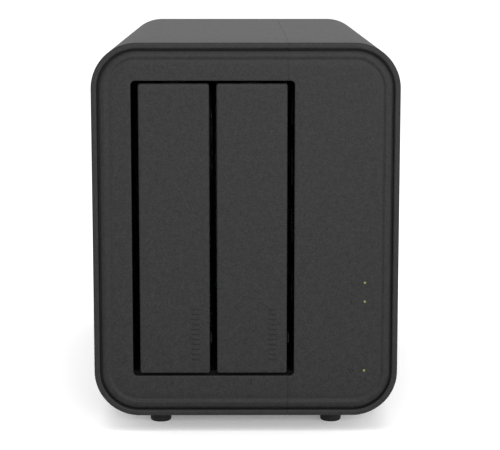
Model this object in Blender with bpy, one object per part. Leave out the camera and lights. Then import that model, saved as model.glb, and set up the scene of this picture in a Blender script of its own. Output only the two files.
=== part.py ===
"""Two-bay desktop network storage box, modelled part by part.

Units are metres. +X is to the right as the user faces the bays, +Y runs from the front to the rear
and +Z is up. The origin is on the surface that the box stands on, under the middle of the case.
"""

import math

import bmesh
import bpy
from mathutils import Matrix, Vector

# ---------------------------------------------------------------- driving dimensions
WIDTH = 0.119
DEPTH = 0.222
HEIGHT = 0.153
FOOT_HEIGHT = 0.0065
CORNER_RADIUS = 0.0177
WALL = 0.0023
CLEARANCE = 0.0003

FRONT_Y = -DEPTH / 2
BACK_Y = DEPTH / 2
BASE_Z = FOOT_HEIGHT
TOP_Z = HEIGHT
MIDDLE_Z = (BASE_Z + TOP_Z) / 2

SEAM_X = 0.01645  # where the two halves of the case meet
FACE_RECESS = 0.0008  # the bezel face lies this far behind the rim
FACE_Y = FRONT_Y + FACE_RECESS
BEZEL_BACK_Y = FRONT_Y + 0.0037

BAY_MIDDLE_X = -0.0127
BAY_MIDDLE_Z = 0.0804
BAY_PITCH = 0.03019
BAY_OPENING_WIDTH = 0.0631
BAY_OPENING_HEIGHT = 0.116
BAY_OPENING_RADIUS = 0.0018

TRAY_WIDTH = 0.02745
TRAY_HEIGHT = 0.114
TRAY_LENGTH = 0.158
TRAY_RAIL = 0.0046  # thickness of the carrier's top and bottom rails

DRIVE_THICKNESS = 0.0261
DRIVE_LENGTH = 0.147
DRIVE_WIDTH = 0.1016
DRIVE_START = 0.0183  # behind the tray's face

PANEL_BACK_Y = BACK_Y - 0.001  # outer face of the rear panel
PANEL_THICKNESS = 0.0025
PANEL_FRONT_Y = PANEL_BACK_Y - PANEL_THICKNESS
SEAT_Y = PANEL_FRONT_Y - CLEARANCE - 0.0001  # the rib inside the case that the panel rests on
SEAT_HEIGHT = 0.0013

FAN_X = -0.0145
FAN_Z = 0.092
FAN_SIZE = 0.080
FAN_DEPTH = 0.025
FAN_HOLE_PITCH = 0.0715
FAN_BORE_RADIUS = 0.0384

BOARD_X = 0.0290  # left face of the mainboard
BOARD_THICKNESS = 0.0016
PORT_X = BOARD_X + BOARD_THICKNESS + CLEARANCE  # where the ports stand on the board
PORT_FACE_Y = PANEL_BACK_Y + 0.0001

FOOT_X = 0.0343
FOOT_Y = 0.0931
CASE_SCREW_X = 0.0505
CASE_SCREW_Z = (0.0183, 0.1412)

LIGHT_X = 0.0465
LIGHT_Z = (0.0595, 0.0520, 0.0244)  # drive 1, drive 2, power

FULL_TURN = 2 * math.pi


# ---------------------------------------------------------------- finishes
FINISHES = {
    # name: (red, green, blue, roughness, metallic), colours in linear light
    "textured_plastic": (0.036, 0.036, 0.038, 0.55, 0.0),
    "dark_plastic": (0.018, 0.018, 0.019, 0.50, 0.0),
    "rubber": (0.012, 0.012, 0.012, 0.80, 0.0),
    "zinc_steel": (0.55, 0.56, 0.58, 0.35, 1.0),
    "black_steel": (0.03, 0.03, 0.032, 0.45, 0.6),
    "aluminium": (0.62, 0.62, 0.63, 0.40, 1.0),
    "cast_aluminium": (0.42, 0.42, 0.43, 0.55, 1.0),
    "circuit_board": (0.010, 0.050, 0.030, 0.45, 0.0),
    "nylon": (0.015, 0.015, 0.016, 0.55, 0.0),
    "clear_acrylic": (0.60, 0.75, 0.45, 0.10, 0.0),
    "wire": (0.02, 0.02, 0.02, 0.50, 0.0),
}


def finish(name):
    """The Principled material of that name, made on first use."""
    if name in bpy.data.materials:
        return bpy.data.materials[name]
    red, green, blue, roughness, metallic = FINISHES[name]
    material = bpy.data.materials.new(name)
    material.use_nodes = True
    shader = material.node_tree.nodes["Principled BSDF"]
    shader.inputs["Base Color"].default_value = (red, green, blue, 1.0)
    shader.inputs["Roughness"].default_value = roughness
    shader.inputs["Metallic"].default_value = metallic
    return material


# ---------------------------------------------------------------- shapes
def block(low, high):
    """Draws a box from its lowest to its highest corner."""
    low, high = Vector(low), Vector(high)

    def draw(mesh):
        place = Matrix.Translation((low + high) / 2) @ Matrix.Diagonal((*(high - low), 1.0))
        bmesh.ops.create_cube(mesh, size=1.0, matrix=place)

    return draw


def rod(start, end, radius, sides=16):
    """Draws a round bar between two points."""
    start, end = Vector(start), Vector(end)
    along = end - start

    def draw(mesh):
        turn = along.to_track_quat("Z", "Y").to_matrix().to_4x4()
        place = Matrix.Translation((start + end) / 2) @ turn
        bmesh.ops.create_cone(
            mesh, cap_ends=True, segments=sides, radius1=radius, radius2=radius,
            depth=along.length, matrix=place,
        )

    return draw


def prism(outline, axis, low, high):
    """Draws an outline, given in the two other axes in X, Y, Z order, pulled along an axis."""
    others = [i for i in range(3) if i != axis]

    def draw(mesh):
        corners = []
        for first, second in outline:
            point = [0.0, 0.0, 0.0]
            point[axis] = low
            point[others[0]] = first
            point[others[1]] = second
            corners.append(mesh.verts.new(point))
        face = mesh.faces.new(corners)
        pulled = bmesh.ops.extrude_face_region(mesh, geom=[face])["geom"]
        step = Vector([high - low if i == axis else 0.0 for i in range(3)])
        moved = [item for item in pulled if isinstance(item, bmesh.types.BMVert)]
        bmesh.ops.translate(mesh, verts=moved, vec=step)

    return draw


def turned(profile, centre, axis, sides=16):
    """Draws a lathe-turned solid. The profile is (radius, distance along the axis), pole to pole."""
    centre, axis = Vector(centre), Vector(axis).normalized()
    side = axis.orthogonal().normalized()

    def draw(mesh):
        points = [mesh.verts.new(centre + axis * h + side * r) for r, h in profile]
        edges = [mesh.edges.new(pair) for pair in zip(points, points[1:])]
        bmesh.ops.spin(
            mesh, geom=points + edges, cent=centre, axis=axis, angle=FULL_TURN,
            steps=sides, use_merge=True,
        )
        bmesh.ops.remove_doubles(mesh, verts=mesh.verts, dist=1e-6)

    return draw


def rings(outlines):
    """Draws a solid skinned over closed outlines of one point count, capped at both ends."""

    def draw(mesh):
        loops = [[mesh.verts.new(point) for point in outline] for outline in outlines]
        count = len(loops[0])
        for near, far in zip(loops, loops[1:]):
            for i in range(count):
                j = (i + 1) % count
                mesh.faces.new((near[i], near[j], far[j], far[i]))
        mesh.faces.new(loops[0])
        mesh.faces.new(loops[-1])

    return draw


def rounded_rectangle(width, height, radius, centre=(0.0, 0.0), steps=6):
    """The points of a rectangle with round corners, going round its centre."""
    points = []
    for quarter in range(4):
        start = quarter * math.pi / 2
        middle = start + math.pi / 4
        corner_x = centre[0] + math.copysign(width / 2 - radius, math.cos(middle))
        corner_y = centre[1] + math.copysign(height / 2 - radius, math.sin(middle))
        for step in range(steps + 1):
            angle = start + step * math.pi / 2 / steps
            points.append((corner_x + radius * math.cos(angle), corner_y + radius * math.sin(angle)))
    return points


def circle(radius, centre, sides, start=0.0):
    """The points of a regular polygon round a centre."""
    return [
        (
            centre[0] + radius * math.cos(start + FULL_TURN * i / sides),
            centre[1] + radius * math.sin(start + FULL_TURN * i / sides),
        )
        for i in range(sides)
    ]


# ---------------------------------------------------------------- objects
def mesh_of(name, shapes):
    """A mesh holding these shapes, with its faces pointing out and round parts shaded smooth."""
    sketch = bmesh.new()
    for draw in shapes:
        draw(sketch)
    bmesh.ops.recalc_face_normals(sketch, faces=sketch.faces)
    mesh = bpy.data.meshes.new(name)
    sketch.to_mesh(mesh)
    sketch.free()
    mesh.shade_smooth()
    mesh.set_sharp_from_angle(angle=math.radians(35))
    return mesh


def place(name, data, finish_name, parent, location):
    """Links a named object to the scene under its parent."""
    made = bpy.data.objects.new(name, data)
    bpy.context.scene.collection.objects.link(made)
    made.parent = parent
    made.location = location
    if finish_name:
        data.materials.append(finish(finish_name))
    return made


def solid(name, finish_name, shape, parent=None, location=(0.0, 0.0, 0.0)):
    """A sub-part that starts as one shape."""
    return place(name, mesh_of(name, [shape]), finish_name, parent, location)


def boolean(target, operation, shapes):
    """Adds a Boolean to a sub-part, whose tool holds the given shapes in the sub-part's own frame."""
    name = f"{target.name}_{operation.lower()}_{len(target.modifiers) + 1}"
    tool = place(name, mesh_of(name, shapes), None, target.parent, target.location)
    tool.hide_render = True
    tool.display_type = "WIRE"
    modifier = target.modifiers.new(operation.title(), "BOOLEAN")
    modifier.operation = operation
    modifier.solver = "EXACT"
    modifier.use_self = operation == "UNION"
    modifier.object = tool


def join(target, *shapes):
    boolean(target, "UNION", shapes)


def cut(target, *shapes):
    boolean(target, "DIFFERENCE", shapes)


def keep_inside(target, shape):
    boolean(target, "INTERSECT", [shape])


def frame_at(name, location):
    """An empty that carries a moving group."""
    empty = bpy.data.objects.new(name, None)
    bpy.context.scene.collection.objects.link(empty)
    empty.location = location
    return empty


# ---------------------------------------------------------------- case
BEZEL_PROFILE = (
    # inset from the case's outline, distance behind the front plane: face, bead, groove and rim
    (0.0087, FACE_RECESS),
    (0.0073, FACE_RECESS + 0.00007),
    (0.0062, FACE_RECESS + 0.00030),
    (0.0054, FACE_RECESS + 0.00005),
    (0.0045, FACE_RECESS + 0.00010),
    (0.0036, FACE_RECESS + 0.00060),
    (0.0030, FACE_RECESS + 0.00130),
    (0.00245, FACE_RECESS + 0.00130),
    (0.0023, 0.0002),
    (0.0021, 0.0),
    (0.0004, 0.0),
    (0.0001, 0.0001),
    (0.0, 0.0004),
)
CORNER_STEPS = 8


def case_outline(inset, y):
    """The case's outline drawn in by an inset, at a distance along Y."""
    flat = rounded_rectangle(
        WIDTH - 2 * inset, TOP_Z - BASE_Z - 2 * inset, CORNER_RADIUS - inset,
        (0.0, MIDDLE_Z), CORNER_STEPS,
    )
    return [(x, y, z) for x, z in flat]


def case_cup():
    """The whole case as one cup, open at the rear, before it is parted into halves."""
    outlines = [case_outline(inset, FRONT_Y + behind) for inset, behind in BEZEL_PROFILE]
    outlines.append(case_outline(0.0, BACK_Y))
    outlines.append(case_outline(WALL, BACK_Y))
    outlines.append(case_outline(WALL, SEAT_Y))
    outlines.append(case_outline(WALL + SEAT_HEIGHT, SEAT_Y))
    outlines.append(case_outline(WALL + SEAT_HEIGHT, SEAT_Y - SEAT_HEIGHT))
    outlines.append(case_outline(WALL, SEAT_Y - 2 * SEAT_HEIGHT))
    outlines.append(case_outline(WALL, BEZEL_BACK_Y))
    return rings(outlines)


def shell_half(name, low_x, high_x, side, openings):
    """One half of the case, with its screw bosses and holes."""
    margin = 0.01
    half = solid(name, "textured_plastic", case_cup())
    keep_inside(
        half,
        block((low_x, FRONT_Y - margin, BASE_Z - margin), (high_x, BACK_Y + margin, TOP_Z + margin)),
    )
    boss_radius = 0.0056
    boss_end = PANEL_FRONT_Y - CLEARANCE
    boss_start = boss_end - 0.015
    join(half, *[
        rod((side * CASE_SCREW_X, boss_start, z), (side * CASE_SCREW_X, boss_end, z), boss_radius, 20)
        for z in CASE_SCREW_Z
    ])
    holes = [
        rod((side * CASE_SCREW_X, boss_end - 0.0125, z), (side * CASE_SCREW_X, BACK_Y, z), 0.0016, 12)
        for z in CASE_SCREW_Z
    ]
    holes += [
        rod((side * FOOT_X, y, BASE_Z - margin), (side * FOOT_X, y, BASE_Z + margin), 0.0025, 16)
        for y in (-FOOT_Y, FOOT_Y)
    ]
    cut(half, *holes, *openings)


def make_case():
    margin = 0.01
    bay_outline = rounded_rectangle(
        BAY_OPENING_WIDTH, BAY_OPENING_HEIGHT, BAY_OPENING_RADIUS, (BAY_MIDDLE_X, BAY_MIDDLE_Z), 4
    )
    bay = prism(bay_outline, 1, FRONT_Y - margin, BEZEL_BACK_Y + 0.001)
    light_holes = [
        rod((LIGHT_X, FRONT_Y - margin, z), (LIGHT_X, BEZEL_BACK_Y + 0.001, z), 0.0008, 12)
        for z in LIGHT_Z
    ]
    shell_half("left_shell", -WIDTH, SEAM_X - CLEARANCE / 2, -1, [bay])
    shell_half("right_shell", SEAM_X + CLEARANCE / 2, WIDTH, 1, [bay, *light_holes])


def make_feet():
    """Push-in rubber feet: a round pad, a neck through the case's base and a barbed head."""
    profile = (
        (0.0, 0.0),
        (0.0034, 0.0),
        (0.0041, 0.0004),
        (0.00435, 0.0012),
        (0.0044, BASE_Z - CLEARANCE),
        (0.0022, BASE_Z - CLEARANCE),
        (0.0022, BASE_Z + WALL + CLEARANCE),
        (0.0033, BASE_Z + WALL + CLEARANCE),
        (0.0020, BASE_Z + WALL + 0.0024),
        (0.0, BASE_Z + WALL + 0.0024),
    )
    for side, x in (("left", -FOOT_X), ("right", FOOT_X)):
        for end, y in (("front", -FOOT_Y), ("rear", FOOT_Y)):
            solid(f"foot_{end}_{side}", "rubber", turned(profile, (0, 0, 0), (0, 0, 1), 20),
                  location=(x, y, 0.0))


# ---------------------------------------------------------------- rear panel
IO_X = (0.0295, 0.0462)
IO_Z = (0.016, 0.142)
SHIELD_BACK_Y = PANEL_BACK_Y - 0.0004
SHIELD_FRONT_Y = SHIELD_BACK_Y - 0.001


def screw(name, x, z, head_radius, shank_radius, length):
    """A pan-head screw driven from the rear, its head sunk in the rear panel."""
    head_y = PANEL_BACK_Y - 0.0008
    profile = (
        (0.0, 0.0016),
        (head_radius * 0.72, 0.0015),
        (head_radius, 0.0009),
        (head_radius, 0.0),
        (shank_radius, 0.0),
        (shank_radius, -length),
        (0.0, -length - 0.0008),
    )
    solid(name, "black_steel", turned(profile, (0, 0, 0), (0, 1, 0), 14), location=(x, head_y, z))


def fan_corners():
    half = FAN_HOLE_PITCH / 2
    return [(FAN_X + sx * half, FAN_Z + sz * half) for sz in (-1, 1) for sx in (-1, 1)]


def make_rear_panel():
    fit = WALL + CLEARANCE
    outline = rounded_rectangle(
        WIDTH - 2 * fit, TOP_Z - BASE_Z - 2 * fit, CORNER_RADIUS - fit, (0.0, MIDDLE_Z), CORNER_STEPS
    )
    panel = solid("rear_panel", "textured_plastic",
                  prism(outline, 1, PANEL_FRONT_Y, PANEL_BACK_Y))
    through = (PANEL_FRONT_Y - 0.001, PANEL_BACK_Y + 0.001)
    counterbore_y = PANEL_BACK_Y - 0.0011
    shapes = [
        rod((FAN_X, through[0], FAN_Z), (FAN_X, through[1], FAN_Z), 0.0393, 40),
        block((IO_X[0], through[0], IO_Z[0]), (IO_X[1], through[1], IO_Z[1])),
        block((-0.0465, through[0], 0.0285), (-0.0395, through[1], 0.0315)),
    ]
    case_screws = [(side * CASE_SCREW_X, z) for z in CASE_SCREW_Z for side in (-1, 1)]
    for x, z in case_screws:
        shapes.append(rod((x, through[0], z), (x, through[1], z), 0.0017, 12))
    for x, z in fan_corners():
        shapes.append(rod((x, through[0], z), (x, through[1], z), 0.0023, 12))
    cut(panel, *shapes)
    cut(panel, *[
        rod((x, counterbore_y, z), (x, through[1], z), 0.0034, 16)
        for x, z in case_screws + fan_corners()
    ])
    for i, (x, z) in enumerate(case_screws, 1):
        screw(f"case_screw_{i}", x, z, 0.0029, 0.0013, 0.0125)
    for i, (x, z) in enumerate(fan_corners(), 1):
        screw(f"fan_screw_{i}", x, z, 0.0029, 0.0019, 0.0140)


GRILLE_PITCH = 0.0088
GRILLE_HOLE = 0.0042  # from the middle of a hexagonal hole to its corners


def make_fan_grille():
    """A punched steel plate between the fan and the rear panel, with a honeycomb of holes."""
    half = FAN_SIZE / 2
    back = PANEL_FRONT_Y - CLEARANCE
    front = back - 0.0008
    plate = solid(
        "fan_grille", "black_steel",
        prism(rounded_rectangle(FAN_SIZE, FAN_SIZE, 0.004, (FAN_X, FAN_Z), 3), 1, front, back),
    )
    holes = []
    row_step = GRILLE_PITCH * math.sqrt(3) / 2
    rows = int(half / row_step)
    for row in range(-rows, rows + 1):
        shift = GRILLE_PITCH / 2 if row % 2 else 0.0
        for column in range(-5, 6):
            x, z = column * GRILLE_PITCH + shift, row * row_step
            if math.hypot(x, z) + GRILLE_HOLE < 0.0386:
                outline = circle(GRILLE_HOLE, (FAN_X + x, FAN_Z + z), 6, math.pi / 6)
                holes.append(prism(outline, 1, front - 0.001, back + 0.001))
    holes += [rod((x, front - 0.001, z), (x, back + 0.001, z), 0.0023, 12) for x, z in fan_corners()]
    cut(plate, *holes)


# ---------------------------------------------------------------- ports
LAN_Z = (0.0625, 0.0445)
USB_Z = (0.1125, 0.0965)
VIDEO_Z = 0.0805
POWER_IN_Z = 0.0255
BUTTON_X = 0.0380
BUTTON_Z = 0.1310

LAN_SIZE = (0.0133, 0.0213, 0.0160)
USB_SIZE = (0.0070, 0.0150, 0.0144)
VIDEO_SIZE = (0.0060, 0.0115, 0.0150)
POWER_IN_SIZE = (0.0110, 0.0140, 0.0090)


def port_box(size, z, grow=0.0):
    """The lowest and highest corner of a port that stands on the mainboard at a height."""
    width, depth, length = size
    return (
        (PORT_X - grow, PORT_FACE_Y - depth, z - length / 2 - grow),
        (PORT_X + width + grow, PORT_FACE_Y + grow, z + length / 2 + grow),
    )


def make_lan_port(index, z):
    port = solid(f"lan_port_{index}", "zinc_steel", block(*port_box(LAN_SIZE, z)))
    mouth = PORT_FACE_Y + 0.001
    cut(
        port,
        block((PORT_X + 0.0033, PORT_FACE_Y - 0.0141, z - 0.0059), (PORT_X + 0.0103, mouth, z + 0.0059)),
    )
    cut(
        port,
        block((PORT_X + 0.0100, PORT_FACE_Y - 0.0090, z - 0.0030), (PORT_X + 0.0120, mouth, z + 0.0030)),
    )


def make_usb_port(index, z):
    """A type A socket: a pressed can with its contact tongue."""
    low, high = port_box(USB_SIZE, z)
    skin = 0.0006
    port = solid(f"usb_port_{index}", "zinc_steel", block(low, high))
    mouth = PORT_FACE_Y + 0.001
    bottom = PORT_FACE_Y - 0.0115
    tongue_low, tongue_high = low[0] + 0.0036, low[0] + 0.0056
    cut(port, block((low[0] + skin, bottom, low[2] + skin), (tongue_low, mouth, high[2] - skin)))
    cut(port, block((tongue_high, bottom, low[2] + skin), (high[0] - skin, mouth, high[2] - skin)))
    cut(port, *[
        block((low[0] + skin, bottom, a), (high[0] - skin, mouth, b))
        for a, b in ((low[2] + skin, low[2] + 0.0016), (high[2] - 0.0016, high[2] - skin))
    ])


def make_video_port():
    low, high = port_box(VIDEO_SIZE, VIDEO_Z)
    port = solid("video_port", "zinc_steel", block(low, high))
    skin = 0.0006
    mouth = PORT_FACE_Y + 0.001
    bottom = PORT_FACE_Y - 0.0085
    outline = (
        (low[0] + skin, low[2] + 0.0020),
        (low[0] + 0.0022, low[2] + skin),
        (high[0] - skin, low[2] + skin),
        (high[0] - skin, high[2] - skin),
        (low[0] + 0.0022, high[2] - skin),
        (low[0] + skin, high[2] - 0.0020),
    )
    cut(port, prism(outline, 1, bottom, mouth))
    join(port, block((low[0] + 0.0026, bottom - 0.001, low[2] + 0.0026),
                     (low[0] + 0.0034, PORT_FACE_Y - 0.001, high[2] - 0.0026)))


def make_power_inlet():
    low, high = port_box(POWER_IN_SIZE, POWER_IN_Z)
    inlet = solid("power_inlet", "nylon", block(low, high))
    x = (low[0] + high[0]) / 2
    bottom = PORT_FACE_Y - 0.0105
    cut(inlet, rod((x, bottom, POWER_IN_Z), (x, PORT_FACE_Y + 0.001, POWER_IN_Z), 0.0029, 12))
    join(inlet, rod((x, bottom - 0.001, POWER_IN_Z), (x, PORT_FACE_Y - 0.001, POWER_IN_Z), 0.0010, 6))


def make_power_button():
    """A push button in the rear panel and the tact switch that it presses."""
    carrier = frame_at("power_button_axis", (BUTTON_X, PORT_FACE_Y, BUTTON_Z))
    profile = (
        (0.0, 0.0004),
        (0.0036, 0.0004),
        (0.0040, 0.0),
        (0.0040, -0.0018),
        (0.0050, -0.0018),
        (0.0050, -0.0028),
        (0.0018, -0.0028),
        (0.0018, -0.0068),
        (0.0, -0.0068),
    )
    solid("power_button", "dark_plastic", turned(profile, (0, 0, 0), (0, 1, 0), 20), carrier)
    switch_face_y = PORT_FACE_Y - 0.0084
    solid(
        "power_switch", "nylon",
        block((PORT_X, switch_face_y - 0.005, BUTTON_Z - 0.0035),
              (BUTTON_X + 0.0035, switch_face_y, BUTTON_Z + 0.0035)),
    )


def make_io_shield():
    shield = solid(
        "io_shield", "black_steel",
        block((IO_X[0] + CLEARANCE, SHIELD_FRONT_Y, IO_Z[0] + CLEARANCE),
              (IO_X[1] - CLEARANCE, SHIELD_BACK_Y, IO_Z[1] - CLEARANCE)),
    )
    rows = [(LAN_SIZE, z) for z in LAN_Z] + [(USB_SIZE, z) for z in USB_Z]
    rows += [(VIDEO_SIZE, VIDEO_Z), (POWER_IN_SIZE, POWER_IN_Z)]
    windows = []
    for size, z in rows:
        low, high = port_box(size, z, CLEARANCE)
        windows.append(block((low[0], SHIELD_FRONT_Y - 0.001, low[2]), (high[0], PORT_FACE_Y, high[2])))
    button = rod((BUTTON_X, SHIELD_FRONT_Y - 0.001, BUTTON_Z), (BUTTON_X, PORT_FACE_Y, BUTTON_Z),
                 0.0043, 20)
    cut(shield, *windows, button)


# ---------------------------------------------------------------- fan
FAN_BACK_Y = PANEL_FRONT_Y - 0.0008 - 2 * CLEARANCE
FAN_FRONT_Y = FAN_BACK_Y - FAN_DEPTH
HUB_RADIUS = 0.0170
BLADE_COUNT = 7


def make_fan_frame():
    """The square frame with its round duct, and the motor seat on four arms."""
    half = FAN_SIZE / 2
    frame = solid(
        "fan_frame", "dark_plastic",
        prism(rounded_rectangle(FAN_SIZE, FAN_SIZE, 0.004, (FAN_X, FAN_Z), 3), 1, FAN_FRONT_Y, FAN_BACK_Y),
    )
    ends = (FAN_FRONT_Y - 0.001, FAN_BACK_Y + 0.001)
    corner_holes = [rod((x, ends[0], z), (x, ends[1], z), 0.0023, 10) for x, z in fan_corners()]
    cut(frame, rod((FAN_X, ends[0], FAN_Z), (FAN_X, ends[1], FAN_Z), FAN_BORE_RADIUS, 40), *corner_holes)
    seat_front = FAN_BACK_Y - 0.0032
    arms = [rod((FAN_X, seat_front, FAN_Z), (FAN_X, FAN_BACK_Y, FAN_Z), HUB_RADIUS + 0.0008, 24)]
    arm_half_width = 0.0014
    arm_end = half - 0.0008
    for low, high in (
        ((-arm_end, -arm_half_width), (arm_end, arm_half_width)),
        ((-arm_half_width, -arm_end), (arm_half_width, arm_end)),
    ):
        arms.append(block((FAN_X + low[0], seat_front + 0.0002, FAN_Z + low[1]),
                          (FAN_X + high[0], FAN_BACK_Y - 0.0002, FAN_Z + high[1])))
    join(frame, *arms)


def fan_blade(angle):
    """One twisted blade about the Y axis, from inside the hub to its tip."""
    stations = 4
    steps = 4
    root, tip = HUB_RADIUS - 0.0012, FAN_BORE_RADIUS - 0.0013
    sweep = math.radians(40)
    depth = 0.0145
    thickness = 0.0014

    def draw(mesh):
        grid = []
        for skin in (-0.5, 0.5):
            layer = []
            for i in range(stations + 1):
                share = i / stations
                radius = root + (tip - root) * share
                lean = angle + math.radians(10) * share
                line = []
                for j in range(steps + 1):
                    along = j / steps - 0.5
                    turn = lean + sweep * along
                    y = depth * (along - 0.35 * (along * along - 0.25)) + skin * thickness
                    line.append(mesh.verts.new((radius * math.cos(turn), y, radius * math.sin(turn))))
                layer.append(line)
            grid.append(layer)
        low, high = grid
        for i in range(stations):
            for j in range(steps):
                for layer in grid:
                    mesh.faces.new((layer[i][j], layer[i][j + 1], layer[i + 1][j + 1], layer[i + 1][j]))
        border = [(i, 0) for i in range(stations)] + [(stations, j) for j in range(steps)]
        border += [(i, steps) for i in range(stations, 0, -1)] + [(0, j) for j in range(steps, 0, -1)]
        for (i, j), (m, n) in zip(border, border[1:] + border[:1]):
            mesh.faces.new((low[i][j], low[m][n], high[m][n], high[i][j]))

    return draw


def make_fan_rotor():
    """The rotor turns about Y on its own empty."""
    axis_y = FAN_BACK_Y - 0.0032 - 0.0110
    carrier = frame_at("fan_axis", (FAN_X, axis_y, FAN_Z))
    hub_profile = (
        (0.0, -0.0095),
        (HUB_RADIUS - 0.0020, -0.0095),
        (HUB_RADIUS, -0.0080),
        (HUB_RADIUS, 0.0104),
        (0.0, 0.0104),
    )
    rotor = solid("fan_rotor", "dark_plastic", turned(hub_profile, (0, 0, 0), (0, 1, 0), 28), carrier)
    join(rotor, *[fan_blade(FULL_TURN * i / BLADE_COUNT) for i in range(BLADE_COUNT)])


# ---------------------------------------------------------------- drive cage
CAGE_X = (-0.0466, 0.0212)
CAGE_Y = (-0.1030, 0.0600)
CAGE_Z = (BASE_Z + WALL + 0.0011, 0.1415)
CAGE_SHEET = 0.001
CAGE_FLOOR_Z = 0.0193


def make_drive_cage():
    """Folded steel: two walls that stand on the case's base, a floor and a roof."""
    cage = solid("drive_cage", "black_steel",
                 block((CAGE_X[0], CAGE_Y[0], CAGE_Z[0]), (CAGE_X[1], CAGE_Y[1], CAGE_Z[1])))
    inner_x = (CAGE_X[0] + CAGE_SHEET, CAGE_X[1] - CAGE_SHEET)
    ends = (CAGE_Y[0] - 0.001, CAGE_Y[1] + 0.001)
    bay = block((inner_x[0], ends[0], CAGE_FLOOR_Z + CAGE_SHEET),
                (inner_x[1], ends[1], CAGE_Z[1] - CAGE_SHEET))
    under = block((inner_x[0], ends[0], CAGE_Z[0] - 0.001), (inner_x[1], ends[1], CAGE_FLOOR_Z))
    cut(cage, bay, under)
    vents = []
    vent_height = 0.018
    for row in range(4):
        low_z = 0.033 + row * 0.0262
        for low_y, high_y in ((-0.085, -0.015), (0.0, 0.050)):
            vents.append(block((CAGE_X[0] - 0.001, low_y, low_z),
                               (CAGE_X[1] + 0.001, high_y, low_z + vent_height)))
    cut(cage, *vents)
    standoff = BOARD_X - CLEARANCE
    join(cage, *[
        rod((CAGE_X[1] - 0.0004, y, z), (standoff, y, z), 0.0028, 10)
        for y in (-0.055, 0.056) for z in (0.0280, 0.1338)
    ])


def bay_centres():
    return [BAY_MIDDLE_X - BAY_PITCH / 2, BAY_MIDDLE_X + BAY_PITCH / 2]


def make_guide_rails():
    """Moulded guides on the cage's floor and roof. Each bay has two ribs that steer a tray's runner."""
    run = (CAGE_Y[0] - 0.0004, CAGE_Y[1] - 0.008)
    inner_x = (CAGE_X[0] + CAGE_SHEET + CLEARANCE, CAGE_X[1] - CAGE_SHEET - CLEARANCE)
    plate_face = TRAY_HEIGHT / 2 + 0.0005
    for name, up in (("guide_rail_bottom", -1), ("guide_rail_top", 1)):
        near = BAY_MIDDLE_Z + up * plate_face
        far = BAY_MIDDLE_Z + up * (plate_face + 0.0023)
        rib_top = BAY_MIDDLE_Z + up * (TRAY_HEIGHT / 2 - 0.0009)
        rib_foot = BAY_MIDDLE_Z + up * (plate_face + 0.0010)
        plate = block((inner_x[0], run[0], min(near, far)), (inner_x[1], run[1], max(near, far)))
        rail = solid(name, "nylon", plate)
        ribs = []
        for x in bay_centres():
            for low, high in ((-0.0044, -0.0024), (0.0024, 0.0044)):
                ribs.append(block((x + low, run[0] + 0.002, min(rib_top, rib_foot)),
                                  (x + high, run[1] - 0.001, max(rib_top, rib_foot))))
        join(rail, *ribs)


# ---------------------------------------------------------------- trays
# A tray's own frame has its origin in the middle of its face. Its drive lies 0.0005 off centre in X.
DRIVE_X = (-0.0125, -0.0125 + DRIVE_THICKNESS)
RAIL_INNER_Z = DRIVE_WIDTH / 2 + CLEARANCE
RAIL_OUTER_Z = RAIL_INNER_Z + TRAY_RAIL
PIN_X = DRIVE_X[0] + 0.00635
PIN_Y = (DRIVE_START + DRIVE_LENGTH - 0.1301, DRIVE_START + DRIVE_LENGTH - 0.0285)
PIN_RADIUS = 0.0015
PIN_HOLE_RADIUS = 0.0019
LATCH_PIVOT = (0.0105, -0.0540)
LATCH_X = (0.0102, 0.0128)
TAB_Z = (-0.0450, -0.0408)
FACE_THICKNESS = 0.0022


def make_tray_face(index, tray):
    outline = rounded_rectangle(TRAY_WIDTH, TRAY_HEIGHT, 0.0008, (0.0, 0.0), 3)
    face = solid(f"tray_{index}_face", "textured_plastic", prism(outline, 1, 0.0, FACE_THICKNESS), tray)
    edge = face.modifiers.new("Edge", "BEVEL")
    edge.width = 0.00035
    edge.segments = 2
    edge.limit_method = "ANGLE"
    edge.angle_limit = math.radians(60)


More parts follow.
